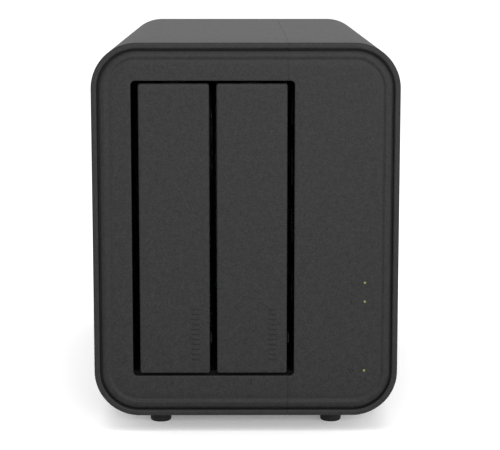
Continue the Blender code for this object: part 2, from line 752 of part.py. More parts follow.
def make_tray_carrier(index, tray):
    """The carrier: a bulkhead behind the face, two rails with runners, and a web beside the drive."""
    front = FACE_THICKNESS + CLEARANCE
    rail_x = TRAY_WIDTH / 2 - 0.0006
    carrier = solid(
        f"tray_{index}_carrier", "nylon",
        block((-0.0112, front, -RAIL_OUTER_Z + 0.0003), (0.0087, front + 0.0025, RAIL_OUTER_Z - 0.0003)),
        tray,
    )
    web_x = (-TRAY_WIDTH / 2 + 0.00005, DRIVE_X[0] - CLEARANCE)
    shapes = [
        block((-rail_x, front, low), (rail_x, TRAY_LENGTH, high))
        for low, high in ((-RAIL_OUTER_Z, -RAIL_INNER_Z), (RAIL_INNER_Z, RAIL_OUTER_Z))
    ]
    shapes.append(block((web_x[0], 0.012, -RAIL_OUTER_Z + 0.0008),
                        (web_x[1], TRAY_LENGTH - 0.001, RAIL_OUTER_Z - 0.0008)))
    join(carrier, *shapes)
    runner_z = TRAY_HEIGHT / 2
    cheek = block((0.0080, front + 0.0002, -RAIL_OUTER_Z + 0.0005), (0.0096, 0.0140, -0.0440))
    pins = [
        rod((PIN_X, y, -RAIL_INNER_Z - 0.001), (PIN_X, y, -RAIL_INNER_Z + 0.0023), PIN_RADIUS, 10)
        for y in PIN_Y
    ]
    windows = [
        block((web_x[0] - 0.001, low, -0.036), (web_x[1] + 0.0002, high, 0.036))
        for low, high in ((0.026, 0.078), (0.092, 0.146))
    ]
    notch = block((0.0099, front - 0.001, -RAIL_OUTER_Z - 0.001),
                  (rail_x + 0.001, 0.0165, -RAIL_INNER_Z + 0.0001))
    strip_slot = block((-0.0098, 0.024, RAIL_INNER_Z + 0.0021), (-0.0025, 0.149, RAIL_OUTER_Z + 0.001))
    pin_holes = [
        rod((PIN_X, y, RAIL_INNER_Z - 0.001), (PIN_X, y, RAIL_OUTER_Z), PIN_HOLE_RADIUS, 10) for y in PIN_Y
    ]
    cut(carrier, *windows, notch, strip_slot)
    cut(carrier, *pin_holes)
    runners = [
        block((-0.002, 0.009, low), (0.002, TRAY_LENGTH - 0.002, high))
        for low, high in ((-runner_z, -RAIL_OUTER_Z + 0.0005), (RAIL_OUTER_Z - 0.0005, runner_z))
    ]
    pivot_y, pivot_z = LATCH_PIVOT
    pivot = rod((0.0085, pivot_y, pivot_z), (LATCH_X[1] + 0.0004, pivot_y, pivot_z), 0.0013, 12)
    join(carrier, *runners, cheek, *pins, pivot)


def make_clip_strip(index, tray):
    """The tool-free strip in the top rail. Its two pins reach into the drive's side holes."""
    low_z = RAIL_INNER_Z + 0.0021 + CLEARANCE
    strip = solid(
        f"tray_{index}_clip_strip", "dark_plastic",
        block((-0.0095, 0.0243, low_z), (-0.0028, 0.1487, RAIL_OUTER_Z - 0.0002)), tray,
    )
    join(strip, *[
        rod((PIN_X, y, RAIL_INNER_Z - 0.0023), (PIN_X, y, low_z + 0.001), PIN_RADIUS, 10) for y in PIN_Y
    ])


def make_latch(index, tray):
    """The release lever. Its tab stands beside the face, and pressing it lifts the hook at its foot."""
    pivot_y, pivot_z = LATCH_PIVOT
    lever = frame_at(f"latch_{index}_axis", (0.0, pivot_y, pivot_z))
    lever.parent = tray
    front = FACE_THICKNESS + 0.0004 - pivot_y
    tab_low, tab_high = TAB_Z[0] - pivot_z, TAB_Z[1] - pivot_z
    hook_z = -BAY_OPENING_HEIGHT / 2 + 0.0004 - pivot_z
    outline = (
        (front, tab_high),
        (front, tab_low - 0.001),
        (front + 0.0022, 0.0035),
        (front + 0.0015, 0.0),
        (front + 0.0006, hook_z + 0.0010),
        (front + 0.0006, hook_z),
        (front + 0.0030, hook_z),
        (-0.0022, -0.0024),
        (0.0010, -0.0030),
        (0.0030, -0.0012),
        (0.0030, 0.0012),
        (0.0010, 0.0030),
        (-0.0022, 0.0040),
        (front + 0.0030, tab_low),
        (front + 0.0030, tab_high),
    )
    body = solid(f"tray_{index}_latch", "nylon", prism(outline, 0, *LATCH_X), lever)
    tab_x = TRAY_WIDTH / 2 + 0.0008
    join(
        body,
        block((LATCH_X[0] + 0.0004, front + 0.0003, tab_low), (tab_x, front + 0.0027, tab_high - 0.0003)),
        block((tab_x - 0.0005, 0.0003 - pivot_y, tab_low + 0.0002),
              (tab_x - 0.00005, front + 0.0020, tab_high - 0.0005)),
    )
    cut(body, rod((LATCH_X[0] - 0.001, 0.0, 0.0), (LATCH_X[1] + 0.001, 0.0, 0.0), 0.0016, 12))


# ---------------------------------------------------------------- hard drives
LID = 0.001
PLUG_X = (DRIVE_X[0] + 0.0003, DRIVE_X[0] + 0.0066)
PLUG_Z = (-0.044, 0.0)
TONGUE_X = DRIVE_X[0] + 0.0035  # the blade inside the plug, which the bay's socket takes


def make_drive(index, tray):
    """A 3.5 inch drive: a cast base, a pressed lid on its right and a circuit board on its left."""
    start, end = DRIVE_START, DRIVE_START + DRIVE_LENGTH
    half = DRIVE_WIDTH / 2
    base_x = (DRIVE_X[0] + 0.0018, DRIVE_X[1] - LID - CLEARANCE)
    outline = rounded_rectangle(DRIVE_LENGTH, DRIVE_WIDTH, 0.003, ((start + end) / 2, 0.0), 2)
    base = solid(f"drive_{index}_casting", "cast_aluminium", prism(outline, 0, *base_x), tray)
    bowl = rounded_rectangle(0.128, 0.092, 0.020, (start + 0.073, 0.0), 4)
    side_holes = []
    for y in PIN_Y:
        for side in (-1, 1):
            bottom, mouth = side * (half - 0.0026), side * (half + 0.001)
            side_holes.append(rod((PIN_X, y, bottom), (PIN_X, y, mouth), PIN_HOLE_RADIUS, 10))
    plug_pocket = block(
        (base_x[0] - 0.001, end - 0.0078, PLUG_Z[0] - CLEARANCE),
        (PLUG_X[1] + CLEARANCE, end + 0.001, PLUG_Z[1] + CLEARANCE),
    )
    cut(base, prism(bowl, 0, base_x[0] + 0.0095, base_x[1] + 0.001), plug_pocket, *side_holes)
    middle = ((start + end) / 2, 0.0)
    lid_outline = rounded_rectangle(DRIVE_LENGTH - 0.003, DRIVE_WIDTH - 0.003, 0.004, middle, 3)
    solid(f"drive_{index}_lid", "zinc_steel", prism(lid_outline, 0, DRIVE_X[1] - LID, DRIVE_X[1]), tray)
    board = solid(
        f"drive_{index}_board", "circuit_board",
        block((DRIVE_X[0] + 0.0003, end - 0.078, -half + 0.004),
              (DRIVE_X[0] + 0.0015, end - 0.0075, half - 0.010)),
        tray,
    )
    join(
        board,
        block((PLUG_X[0], end - 0.0085, PLUG_Z[0]), (PLUG_X[0] + 0.0012, end - 0.0058, PLUG_Z[1])),
        block((PLUG_X[0] + 0.0002, end - 0.0072, PLUG_Z[0] + 0.0001), (PLUG_X[1], end, PLUG_Z[1] - 0.0001)),
    )
    socket_bottom = end - 0.0048
    cut(board, block((PLUG_X[0] + 0.0008, socket_bottom, PLUG_Z[0] + 0.001),
                     (PLUG_X[1] - 0.0006, end + 0.001, PLUG_Z[1] - 0.001)))
    join(board, block((TONGUE_X - 0.0003, socket_bottom - 0.0008, PLUG_Z[0] + 0.0025),
                      (TONGUE_X + 0.0003, end - 0.0006, PLUG_Z[1] - 0.0025)))


BACKPLANE_Y = (CAGE_Y[1] + CLEARANCE, CAGE_Y[1] + CLEARANCE + 0.0016)


def make_backplane():
    """The board behind the bays, with one socket per drive and windows for the fan's air."""
    board = solid(
        "backplane_board", "circuit_board",
        block((-0.0453, BACKPLANE_Y[0], 0.0240), (BOARD_X - 0.0006, BACKPLANE_Y[1], 0.1370)),
    )
    ends = (BACKPLANE_Y[0] - 0.001, BACKPLANE_Y[1] + 0.001)
    cut(board, *[
        block((x - 0.0045, ends[0], BAY_MIDDLE_Z - 0.048), (x + 0.0115, ends[1], BAY_MIDDLE_Z + 0.048))
        for x in bay_centres()
    ])
    drive_end = FACE_Y + DRIVE_START + DRIVE_LENGTH
    nose = drive_end - 0.0035
    for index, x in enumerate(bay_centres(), 1):
        tongue = x + TONGUE_X
        socket = solid(
            f"bay_socket_{index}", "nylon",
            block((tongue - 0.0020, nose, BAY_MIDDLE_Z + PLUG_Z[0] + 0.0014),
                  (tongue + 0.0019, BACKPLANE_Y[0] - CLEARANCE, BAY_MIDDLE_Z + PLUG_Z[1] - 0.0014)),
        )
        cut(socket, block((tongue - 0.0006, nose - 0.001, BAY_MIDDLE_Z + PLUG_Z[0] + 0.0022),
                          (tongue + 0.0006, nose + 0.0042, BAY_MIDDLE_Z + PLUG_Z[1] - 0.0022)))
    solid(
        "board_link", "nylon",
        block((0.0236, BACKPLANE_Y[1] + CLEARANCE, 0.0600),
              (BOARD_X - CLEARANCE, BACKPLANE_Y[1] + 0.0075, 0.1000)),
    )


# ---------------------------------------------------------------- mainboard
def make_mainboard():
    solid(
        "mainboard", "circuit_board",
        block((BOARD_X, -0.0700, 0.0130), (BOARD_X + BOARD_THICKNESS, 0.1035, 0.1410)),
    )
    sink_x = (PORT_X + 0.0020, PORT_X + 0.0160)
    sink = solid("heat_sink", "aluminium", block((sink_x[0], -0.0280, 0.0700), (sink_x[1], 0.0240, 0.1220)))
    fins, gap = 11, 0.0026
    pitch = (0.052 - 0.0016) / (fins - 1)
    cut(sink, *[
        block((sink_x[0] + 0.0030, -0.0300, 0.0700 + 0.0016 + i * pitch),
              (sink_x[1] + 0.001, 0.0260, 0.0700 + 0.0016 + i * pitch + gap + 0.0008))
        for i in range(fins - 1)
    ])
    socket = solid("memory_socket", "nylon",
                   block((PORT_X, -0.0370, 0.0220), (PORT_X + 0.0052, 0.0330, 0.0285)))
    cut(socket, block((PORT_X + 0.0021, -0.0345, 0.0245), (PORT_X + 0.0039, 0.0305, 0.0295)))
    solid("memory_module", "circuit_board",
          block((PORT_X + 0.0024, -0.0342, 0.0248), (PORT_X + 0.0036, 0.0302, 0.0545)))
    solid("coin_cell", "zinc_steel",
          rod((PORT_X, -0.0520, 0.0400), (PORT_X + 0.0032, -0.0520, 0.0400), 0.0100, 20))


def make_lights():
    """The small board behind the bezel and the clear guide that brings its light to the face."""
    board_y = (BEZEL_BACK_Y + 0.0052, BEZEL_BACK_Y + 0.0064)
    solid("light_board", "circuit_board", block((0.0400, board_y[0], 0.0190), (0.0520, board_y[1], 0.0650)))
    guide_y = (BEZEL_BACK_Y + 0.0020, BEZEL_BACK_Y + 0.0048)
    guide = solid("light_guide", "clear_acrylic",
                  block((0.0452, guide_y[0], 0.0220), (0.0478, guide_y[1], 0.0620)))
    join(guide, *[
        rod((LIGHT_X, FACE_Y, z), (LIGHT_X, guide_y[0] + 0.0006, z), 0.0005, 10) for z in LIGHT_Z
    ])


def lead(name, route, radius):
    """A wire tube on a smooth curve through its route."""
    curve = bpy.data.curves.new(name, "CURVE")
    curve.dimensions = "3D"
    curve.bevel_depth = radius
    curve.bevel_resolution = 1
    curve.use_fill_caps = True
    points = smooth_route([Vector(point) for point in route], 3)
    spline = curve.splines.new("POLY")
    spline.points.add(len(points) - 1)
    for slot, point in zip(spline.points, points):
        slot.co = (*point, 1.0)
    place(name, curve, "wire", None, (0.0, 0.0, 0.0))


def smooth_route(route, steps):
    """Points on a Catmull-Rom curve through the route's own points."""
    ends = [2 * route[0] - route[1], *route, 2 * route[-1] - route[-2]]
    points = []
    for a, b, c, d in zip(ends, ends[1:], ends[2:], ends[3:]):
        for step in range(steps):
            t = step / steps
            points.append(
                0.5 * (2 * b + (c - a) * t + (2 * a - 5 * b + 4 * c - d) * t ** 2
                       + (3 * b - a - 3 * c + d) * t ** 3)
            )
    return [*points, route[-1]]


FAN_LEAD_ROUTE = (
    (0.0271, 0.0920, 0.1175),
    (0.0271, 0.0850, 0.1165),
    (0.0270, 0.0790, 0.1140),
    (0.0266, 0.0740, 0.1150),
    (0.0262, 0.0730, 0.1205),
    (0.0256, 0.0735, 0.1252),
)
LIGHT_LEAD_ROUTE = (
    (0.0440, -0.1005, 0.0420),
    (0.0440, -0.0970, 0.0420),
    (0.0430, -0.0900, 0.0440),
    (0.0400, -0.0820, 0.0500),
    (0.0370, -0.0740, 0.0560),
    (0.0350, -0.0680, 0.0590),
    (0.0340, -0.0636, 0.0600),
)


def make_leads():
    lead("fan_lead", FAN_LEAD_ROUTE, 0.0009)
    lead("light_lead", LIGHT_LEAD_ROUTE, 0.0009)
    solid("fan_header", "nylon", block((0.0236, 0.0710, 0.1256), (BOARD_X - CLEARANCE, 0.0760, 0.1320)))
    solid("light_header", "nylon", block((PORT_X, -0.0632, 0.0560), (PORT_X + 0.0050, -0.0582, 0.0640)))


# ---------------------------------------------------------------- assembly
def clear_scene():
    for item in list(bpy.data.objects):
        bpy.data.objects.remove(item, do_unlink=True)


def main():
    clear_scene()
    make_case()
    make_feet()
    make_rear_panel()
    make_fan_grille()
    make_io_shield()
    for index, z in enumerate(LAN_Z, 1):
        make_lan_port(index, z)
    for index, z in enumerate(USB_Z, 1):
        make_usb_port(index, z)
    make_video_port()
    make_power_inlet()
    make_power_button()
    make_fan_frame()
    make_fan_rotor()
    make_drive_cage()
    make_guide_rails()
    make_backplane()
    make_mainboard()
    make_lights()
    make_leads()
    for index, x in enumerate(bay_centres(), 1):
        tray = frame_at(f"tray_{index}", (x, FACE_Y, BAY_MIDDLE_Z))
        make_tray_face(index, tray)
        make_tray_carrier(index, tray)
        make_clip_strip(index, tray)
        make_latch(index, tray)
        make_drive(index, tray)


main()
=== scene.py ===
"""A two-bay network storage box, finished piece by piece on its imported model.

Everything is in metres, with +X to the right of the user, +Y to the rear and +Z up.
"""

import math

import bmesh
import bpy
from mathutils import Matrix, Vector


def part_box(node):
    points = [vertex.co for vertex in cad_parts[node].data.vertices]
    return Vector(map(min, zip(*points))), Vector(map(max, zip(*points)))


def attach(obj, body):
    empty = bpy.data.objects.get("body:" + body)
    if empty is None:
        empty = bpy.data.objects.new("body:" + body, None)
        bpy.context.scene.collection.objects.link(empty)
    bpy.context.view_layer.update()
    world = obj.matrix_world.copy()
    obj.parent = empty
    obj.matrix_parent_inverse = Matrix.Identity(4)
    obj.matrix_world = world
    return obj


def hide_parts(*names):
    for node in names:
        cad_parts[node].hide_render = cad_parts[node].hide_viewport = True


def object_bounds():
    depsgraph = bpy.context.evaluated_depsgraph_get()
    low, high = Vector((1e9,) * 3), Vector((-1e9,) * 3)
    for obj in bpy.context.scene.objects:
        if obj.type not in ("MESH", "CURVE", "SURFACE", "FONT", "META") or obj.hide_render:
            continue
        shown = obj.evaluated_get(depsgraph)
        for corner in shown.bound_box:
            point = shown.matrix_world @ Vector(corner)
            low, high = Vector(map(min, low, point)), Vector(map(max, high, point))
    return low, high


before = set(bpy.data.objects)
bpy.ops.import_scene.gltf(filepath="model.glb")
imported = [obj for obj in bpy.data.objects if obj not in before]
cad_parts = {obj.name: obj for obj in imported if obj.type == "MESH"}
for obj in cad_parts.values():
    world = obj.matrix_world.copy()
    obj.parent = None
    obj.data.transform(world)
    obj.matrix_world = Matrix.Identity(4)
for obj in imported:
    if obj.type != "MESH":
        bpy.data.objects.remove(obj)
packed_bounds = [list(corner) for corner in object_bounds()]
mm = 0.001

# ---------------------------------------------------------------- camera
# A long lens a little above the box and almost square to its front, as a catalogue view is taken.
# The height shows a sliver of the top and keeps the sides of the case nearly parallel.
camera_data = bpy.data.cameras.new("catalogue_lens")
camera_data.sensor_width = 36.0
camera_data.lens = 126.3
camera_data.clip_end = 100.0
camera = bpy.data.objects.new("catalogue_camera", camera_data)
camera.location = (-0.0019, -0.7829, 0.1896)
camera.rotation_euler = (math.radians(90 - 9.05), 0.0, math.radians(-0.30))
bpy.context.scene.collection.objects.link(camera)
bpy.context.scene.camera = camera
bpy.context.scene.view_settings.view_transform = "Standard"

# ---------------------------------------------------------------- case halves
# The case is moulded in ABS in two halves, left and right, each with its share of the front. They
# meet in a hairline seam to the right of the bays. The mould is spark eroded, which leaves a fine
# even grain, and the front lies in a rim behind a shadow groove and a soft bead.


def linear(code):
    """A linear RGBA colour from an sRGB hex code."""
    channels = [int(code[i:i + 2], 16) / 255 for i in (0, 2, 4)]
    return (*[c / 12.92 if c <= 0.04045 else ((c + 0.055) / 1.055) ** 2.4 for c in channels], 1.0)


def add(tree, kind, settings=None, **inputs):
    """Adds a node, sets its settings, and fills its inputs with values or with other nodes' outputs."""
    node = tree.nodes.new(kind)
    for key, value in (settings or {}).items():
        setattr(node, key, value)
    for key, value in inputs.items():
        socket = node.inputs[int(key[1:])] if key[0] == "_" else node.inputs[key.replace("_", " ")]
        if isinstance(value, bpy.types.NodeSocket):
            tree.links.new(value, socket)
        else:
            socket.default_value = value
    return node


def new_material(name, colour, roughness, metallic=0.0, ior=None):
    """A named material, its node tree and its shader, with the values that hold all over it."""
    material = bpy.data.materials.new(name)
    material.use_nodes = True
    material.diffuse_color = linear(colour)
    tree = material.node_tree
    shader = tree.nodes["Principled BSDF"]
    shader.inputs["Base Color"].default_value = linear(colour)
    shader.inputs["Roughness"].default_value = roughness
    shader.inputs["Metallic"].default_value = metallic
    if ior:
        shader.inputs["IOR"].default_value = ior
    return material, tree, shader


def eroded_abs(name):
    """Spark-eroded ABS: a matt charcoal skin of tiny round pits that glitter where light grazes them."""
    material, tree, shader = new_material(name, "1A1A1B", 0.52, ior=1.53)
    shader.inputs["Specular IOR Level"].default_value = 0.15
    place = add(tree, "ShaderNodeTexCoord").outputs["Object"]
    # The real pits are about 0.1 mm across. They are drawn near 0.5 mm, so that they show.
    pits = add(tree, "ShaderNodeTexNoise", Vector=place, Scale=1 / (0.55 * mm), Detail=2.0, Roughness=0.6)
    cloud = add(tree, "ShaderNodeTexNoise", Vector=place, Scale=1 / (2.2 * mm), Detail=2.0)
    blend = add(tree, "ShaderNodeMath", {"operation": "MULTIPLY_ADD"}, _0=cloud.outputs["Fac"], _1=0.35)
    tree.links.new(pits.outputs["Fac"], blend.inputs[2])
    shades = add(tree, "ShaderNodeMapRange", Value=blend.outputs[0], From_Min=0.50, From_Max=0.85)
    tone = add(
        tree, "ShaderNodeMix", {"data_type": "RGBA"}, _0=shades.outputs[0],
        _6=linear("131314"), _7=linear("212122"),
    )
    tree.links.new(tone.outputs[2], shader.inputs["Base Color"])
    sheen = add(tree, "ShaderNodeMapRange", Value=cloud.outputs["Fac"], To_Min=0.47, To_Max=0.58)
    tree.links.new(sheen.outputs[0], shader.inputs["Roughness"])
    relief = add(tree, "ShaderNodeBump", Height=pits.outputs["Fac"], Strength=0.50, Distance=0.06 * mm)
    tree.links.new(relief.outputs[0], shader.inputs["Normal"])
    return material


case_abs = eroded_abs("abs_spark_eroded_charcoal")

lower, upper = packed_bounds
foot_height = 6.5 * mm
case_width = upper[0] - lower[0]
front, back = lower[1], upper[1]
base, top = lower[2] + foot_height, upper[2]
corner_radius = 17.7 * mm
corner_steps = 20
wall = 2.3 * mm
plateau = front + 0.8 * mm  # the face inside the bead
panel_back = front + 3.7 * mm
seam = 16.45 * mm
seam_gap = 0.07 * mm
bay_low, bay_high = (-44.25 * mm, 22.4 * mm), (18.85 * mm, 138.4 * mm)
bay_radius = 1.7 * mm


def round_loop(low, high, radius, y, steps=corner_steps):
    """A rectangle with round corners, standing square to Y."""
    points = []
    for quarter in range(4):
        right, up = quarter in (0, 3), quarter in (0, 1)
        cx = high[0] - radius if right else low[0] + radius
        cz = high[1] - radius if up else low[1] + radius
        for step in range(steps + 1):
            angle = (quarter + step / steps) * math.pi / 2
            points.append((cx + radius * math.cos(angle), y, cz + radius * math.sin(angle)))
    return points


def case_loop(inset, y):
    """The case's outline, drawn in by an inset."""
    half = case_width / 2 - inset
    return round_loop((-half, base + inset), (half, top - inset), corner_radius - inset, y)


def bay_loop(grow, y):
    """The outline of the bay opening, let out by some distance."""
    low = (bay_low[0] - grow, bay_low[1] - grow)
    high = (bay_high[0] + grow, bay_high[1] + grow)
    return round_loop(low, high, bay_radius + grow, y)


def skin(mesh, loops, closed=False):
    """Skins quads over loops of one point count. Without closed, the end loops are capped."""
    rows = [[mesh.verts.new(point) for point in loop] for loop in loops]
    pairs = list(zip(rows, rows[1:] + rows[:1])) if closed else list(zip(rows, rows[1:]))
    for near, far in pairs:
        for i in range(len(near)):
            j = (i + 1) % len(near)
            mesh.faces.new((near[i], near[j], far[j], far[i]))
    if not closed:
        mesh.faces.new(rows[0])
        mesh.faces.new(rows[-1])


def drum(mesh, profile, centre, axis, sides=32, ring=False):
    """Turns a profile of (radius, distance) pairs, in mm, round an axis. Ends at radius 0 close to a
    point, and a ring closes its last row on its first."""
    centre, axis = Vector(centre), Vector(axis).normalized()
    across = axis.orthogonal().normalized()
    over = axis.cross(across)
    turns = [2 * math.pi * i / sides for i in range(sides)]
    spokes = [across * math.cos(turn) + over * math.sin(turn) for turn in turns]
    rows = []
    for radius, along in profile:
        hub = centre + axis * (along * mm)
        if radius:
            rows.append([mesh.verts.new(hub + spoke * (radius * mm)) for spoke in spokes])
        else:
            rows.append([mesh.verts.new(hub)])
    for near, far in zip(rows, rows[1:] + rows[:1] if ring else rows[1:]):
        for i in range(sides):
            j = (i + 1) % sides
            corners = [near[i % len(near)], near[j % len(near)], far[j % len(far)], far[i % len(far)]]
            unique = list(dict.fromkeys(corners))
            if len(unique) > 2:
                mesh.faces.new(unique)


def finished(name, mesh, material, body, slot, *replaced, smooth=40):
    """Turns a bmesh into a piece: outward normals, smooth shading, its finish and its body. The slot is not
    used.
    """
    bmesh.ops.recalc_face_normals(mesh, faces=mesh.faces)
    data = bpy.data.meshes.new(name)
    mesh.to_mesh(data)
    mesh.free()
    data.shade_smooth()
    data.set_sharp_from_angle(angle=math.radians(smooth))
    data.materials.append(material)
    piece = bpy.data.objects.new(name, data)
    bpy.context.scene.collection.objects.link(piece)
    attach(piece, body)
    if replaced:
        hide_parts(*replaced)
    return piece


front_profile = (
    # inset from the outline and distance behind the front plane, in mm
    (0.0, 3.0), (0.0, 0.36), (0.05, 0.17), (0.16, 0.05), (0.34, 0.0),  # the rim
    (1.6, 0.0), (1.88, 0.04), (2.1, 0.18), (2.24, 0.42), (2.32, 0.8),
    (2.36, 2.4), (2.44, 2.6), (2.84, 2.6), (2.92, 2.4),  # the shadow groove
    (2.97, 1.35), (3.08, 1.08), (3.35, 0.92), (3.8, 0.77), (4.35, 0.64), (4.9, 0.56), (5.35, 0.54),
    (5.75, 0.65), (6.1, 0.86), (6.4, 0.99), (6.8, 0.98), (7.4, 0.88), (8.3, 0.8), (9.2, 0.8),  # the bead
)
bay_edge = (
    # distance out from the bay opening and distance behind the front plane, in mm
    (0.9, 0.8), (0.34, 0.8), (0.16, 0.85), (0.05, 0.97), (0.0, 1.15),
    (0.0, 1.75), (0.2, 2.0), (1.6, 3.6), (1.8, 3.7), (2.4, 3.7),
)

screw_boss = ((0.0, 0.0), (5.6, 0.0), (5.6, 15.0), (1.6, 15.0), (1.6, 2.5), (0.0, 2.5))
boss_x, boss_heights, boss_start = 50.5 * mm, (18.3 * mm, 141.2 * mm), back - 18.8 * mm
rib_inset = wall + 1.3 * mm  # the rib that the rear panel rests on


def case_half(name, side, replaced):
    """One half of the case, cut from the whole skin at the seam. Side is -1 on the left, 1 on the right."""
    whole = bmesh.new()
    loops = [case_loop(0.0, back - 0.5 * mm)]
    loops += [case_loop(inset * mm, front + behind * mm) for inset, behind in front_profile]
    loops += [bay_loop(grow * mm, front + behind * mm) for grow, behind in bay_edge]
    loops += [
        case_loop(wall + 2 * mm, panel_back), case_loop(wall, panel_back + 1 * mm),
        case_loop(wall, back - 6.6 * mm), case_loop(rib_inset, back - 5.3 * mm),
        case_loop(rib_inset, back - 3.9 * mm), case_loop(wall, back - 3.9 * mm), case_loop(wall, back),
        case_loop(0.5 * mm, back), case_loop(0.15 * mm, back - 0.12 * mm),
    ]
    skin(whole, loops, closed=True)
    bmesh.ops.recalc_face_normals(whole, faces=whole.faces)
    everything = whole.verts[:] + whole.edges[:] + whole.faces[:]
    cut = bmesh.ops.bisect_plane(
        whole, geom=everything, plane_co=(seam + side * seam_gap / 2, 0, 0), plane_no=(-side, 0, 0),
        clear_outer=True, dist=1e-6,
    )["geom_cut"]
    bmesh.ops.edgenet_fill(whole, edges=[item for item in cut if isinstance(item, bmesh.types.BMEdge)])
    for z in boss_heights:
        drum(whole, screw_boss, (side * boss_x, boss_start, z), (0, 1, 0), 24)
    return finished(name, whole, case_abs, "enclosure", "shell", replaced, smooth=32)


case_half("case_half_left", -1, "left_shell")
case_right = case_half("case_half_right", 1, "right_shell")

# ---------------------------------------------------------------- indicator lights
# Three pins of one clear acrylic guide come through the front at the right and end in small domes.
# The green lights behind them make the ends glow. The case is drilled for them.
light_x = 46.5 * mm
light_heights = [59.5 * mm, 52.0 * mm, 24.4 * mm]
light_hole = ((0.0, -1.0), (0.62, -1.0), (0.62, 4.0), (0.0, 4.0))
light_dome = ((0.0, 2.0), (0.52, 2.0), (0.52, 0.15), (0.46, 0.02), (0.3, -0.08), (0.0, -0.12))


def cut_out(piece, mesh, crossed=False):
    """Cuts a bmesh's shape out of a piece for good. A crossed shape runs through itself."""
    bmesh.ops.recalc_face_normals(mesh, faces=mesh.faces)
    data = bpy.data.meshes.new("cutter")
    mesh.to_mesh(data)
    mesh.free()
    cutter = bpy.data.objects.new("cutter", data)
    bpy.context.scene.collection.objects.link(cutter)
    cut = piece.modifiers.new("Cut", "BOOLEAN")
    cut.object = cutter
    cut.solver = "EXACT"
    cut.use_self = crossed
    bpy.context.view_layer.update()
    shape = bpy.data.meshes.new_from_object(piece.evaluated_get(bpy.context.evaluated_depsgraph_get()))
    piece.modifiers.clear()
    piece.data = shape
    bpy.data.objects.remove(cutter)
    return shape


drill = bmesh.new()
for z in light_heights:
    drum(drill, light_hole, (light_x, front, z), (0, 1, 0), 24)
cut_out(case_right, drill)

glow, glow_tree, glow_shader = new_material("acrylic_lit_green", "4A5232", 0.18, ior=1.49)
glow_place = add(glow_tree, "ShaderNodeTexCoord").outputs["Object"]
glow_haze = add(glow_tree, "ShaderNodeTexNoise", Vector=glow_place, Scale=1 / (0.4 * mm), Detail=1.0)
glow_tone = add(
    glow_tree, "ShaderNodeMix", {"data_type": "RGBA"}, _0=glow_haze.outputs["Fac"],
    _6=linear("86983E"), _7=linear("9DB050"),
)
glow_tree.links.new(glow_tone.outputs[2], glow_shader.inputs["Emission Color"])
glow_shader.inputs["Emission Strength"].default_value = 0.26
glow_shader.inputs["Specular IOR Level"].default_value = 0.2
for number, z in enumerate(light_heights, 1):
    lens = bmesh.new()
    drum(lens, light_dome, (light_x, plateau, z), (0, 1, 0), 20)
    finished(f"light_dome_{number}", lens, glow, "enclosure", "clear_acrylic")

# ---------------------------------------------------------------- printed marks
# Bay numbers under the trays and beside their lights, and a power mark, are pad printed in dark ink
# that stands out from the case no more than a paint film.


def toned(
    name, colour, dark, light, patch, detail, roughness, metallic=0.0, ior=None, specular=None, drawn=None
):
    """A material whose colour drifts between two tones in patches of a given size. Drawn is the
    patches' length along Y, where a metal was rolled or drawn that way."""
    material, tree, shader = new_material(name, colour, roughness, metallic, ior)
    if specular is not None:
        shader.inputs["Specular IOR Level"].default_value = specular
    place = add(tree, "ShaderNodeTexCoord").outputs["Object"]
    if drawn:
        lines = add(tree, "ShaderNodeMapping", Vector=place, Scale=(1 / patch, 1 / drawn, 1 / patch))
        drift = add(tree, "ShaderNodeTexNoise", Vector=lines.outputs[0], Scale=1.0, Detail=detail)
    else:
        drift = add(tree, "ShaderNodeTexNoise", Vector=place, Scale=1 / patch, Detail=detail)
    drift = drift.outputs["Fac"]
    tone = add(tree, "ShaderNodeMix", {"data_type": "RGBA"}, _0=drift, _6=linear(dark), _7=linear(light))
    tree.links.new(tone.outputs[2], shader.inputs["Base Color"])
    return material, tree, shader, place, drift


ink = toned("pad_print_ink_dark", "131314", "0F0F10", "18181A", 0.3 * mm, 2.0, 0.4, ior=1.5, specular=0.08)[0]
ink_film = 0.02 * mm
digit_share = 0.70  # a figure's height as a share of its type size


def printed_number(name, text, height, x, z):
    """A figure of a given height, centred on a place on the front."""
    curve = bpy.data.curves.new(name, "FONT")
    curve.body = text
    curve.size = height / digit_share
    curve.align_x = "CENTER"
    curve.align_y = "CENTER"
    curve.extrude = ink_film
    letters = bpy.data.objects.new(name + "_outline", curve)
    bpy.context.scene.collection.objects.link(letters)
    bpy.context.view_layer.update()
    mesh = bmesh.new()
    mesh.from_mesh(letters.evaluated_get(bpy.context.evaluated_depsgraph_get()).to_mesh())
    stand = Matrix.Translation((x, plateau - ink_film / 2, z)) @ Matrix.Rotation(math.pi / 2, 4, "X")
    bmesh.ops.transform(mesh, matrix=stand, verts=mesh.verts)
    bpy.data.objects.remove(letters)
    finished(name, mesh, ink, "enclosure", "shell")


printed_number("bay_number_1", "1", 1.7 * mm, -28.8 * mm, 19.6 * mm)
printed_number("bay_number_2", "2", 1.7 * mm, 1.9 * mm, 19.6 * mm)
printed_number("light_number_1", "1", 1.5 * mm, 41.2 * mm, light_heights[0])
printed_number("light_number_2", "2", 1.5 * mm, 41.2 * mm, light_heights[1])

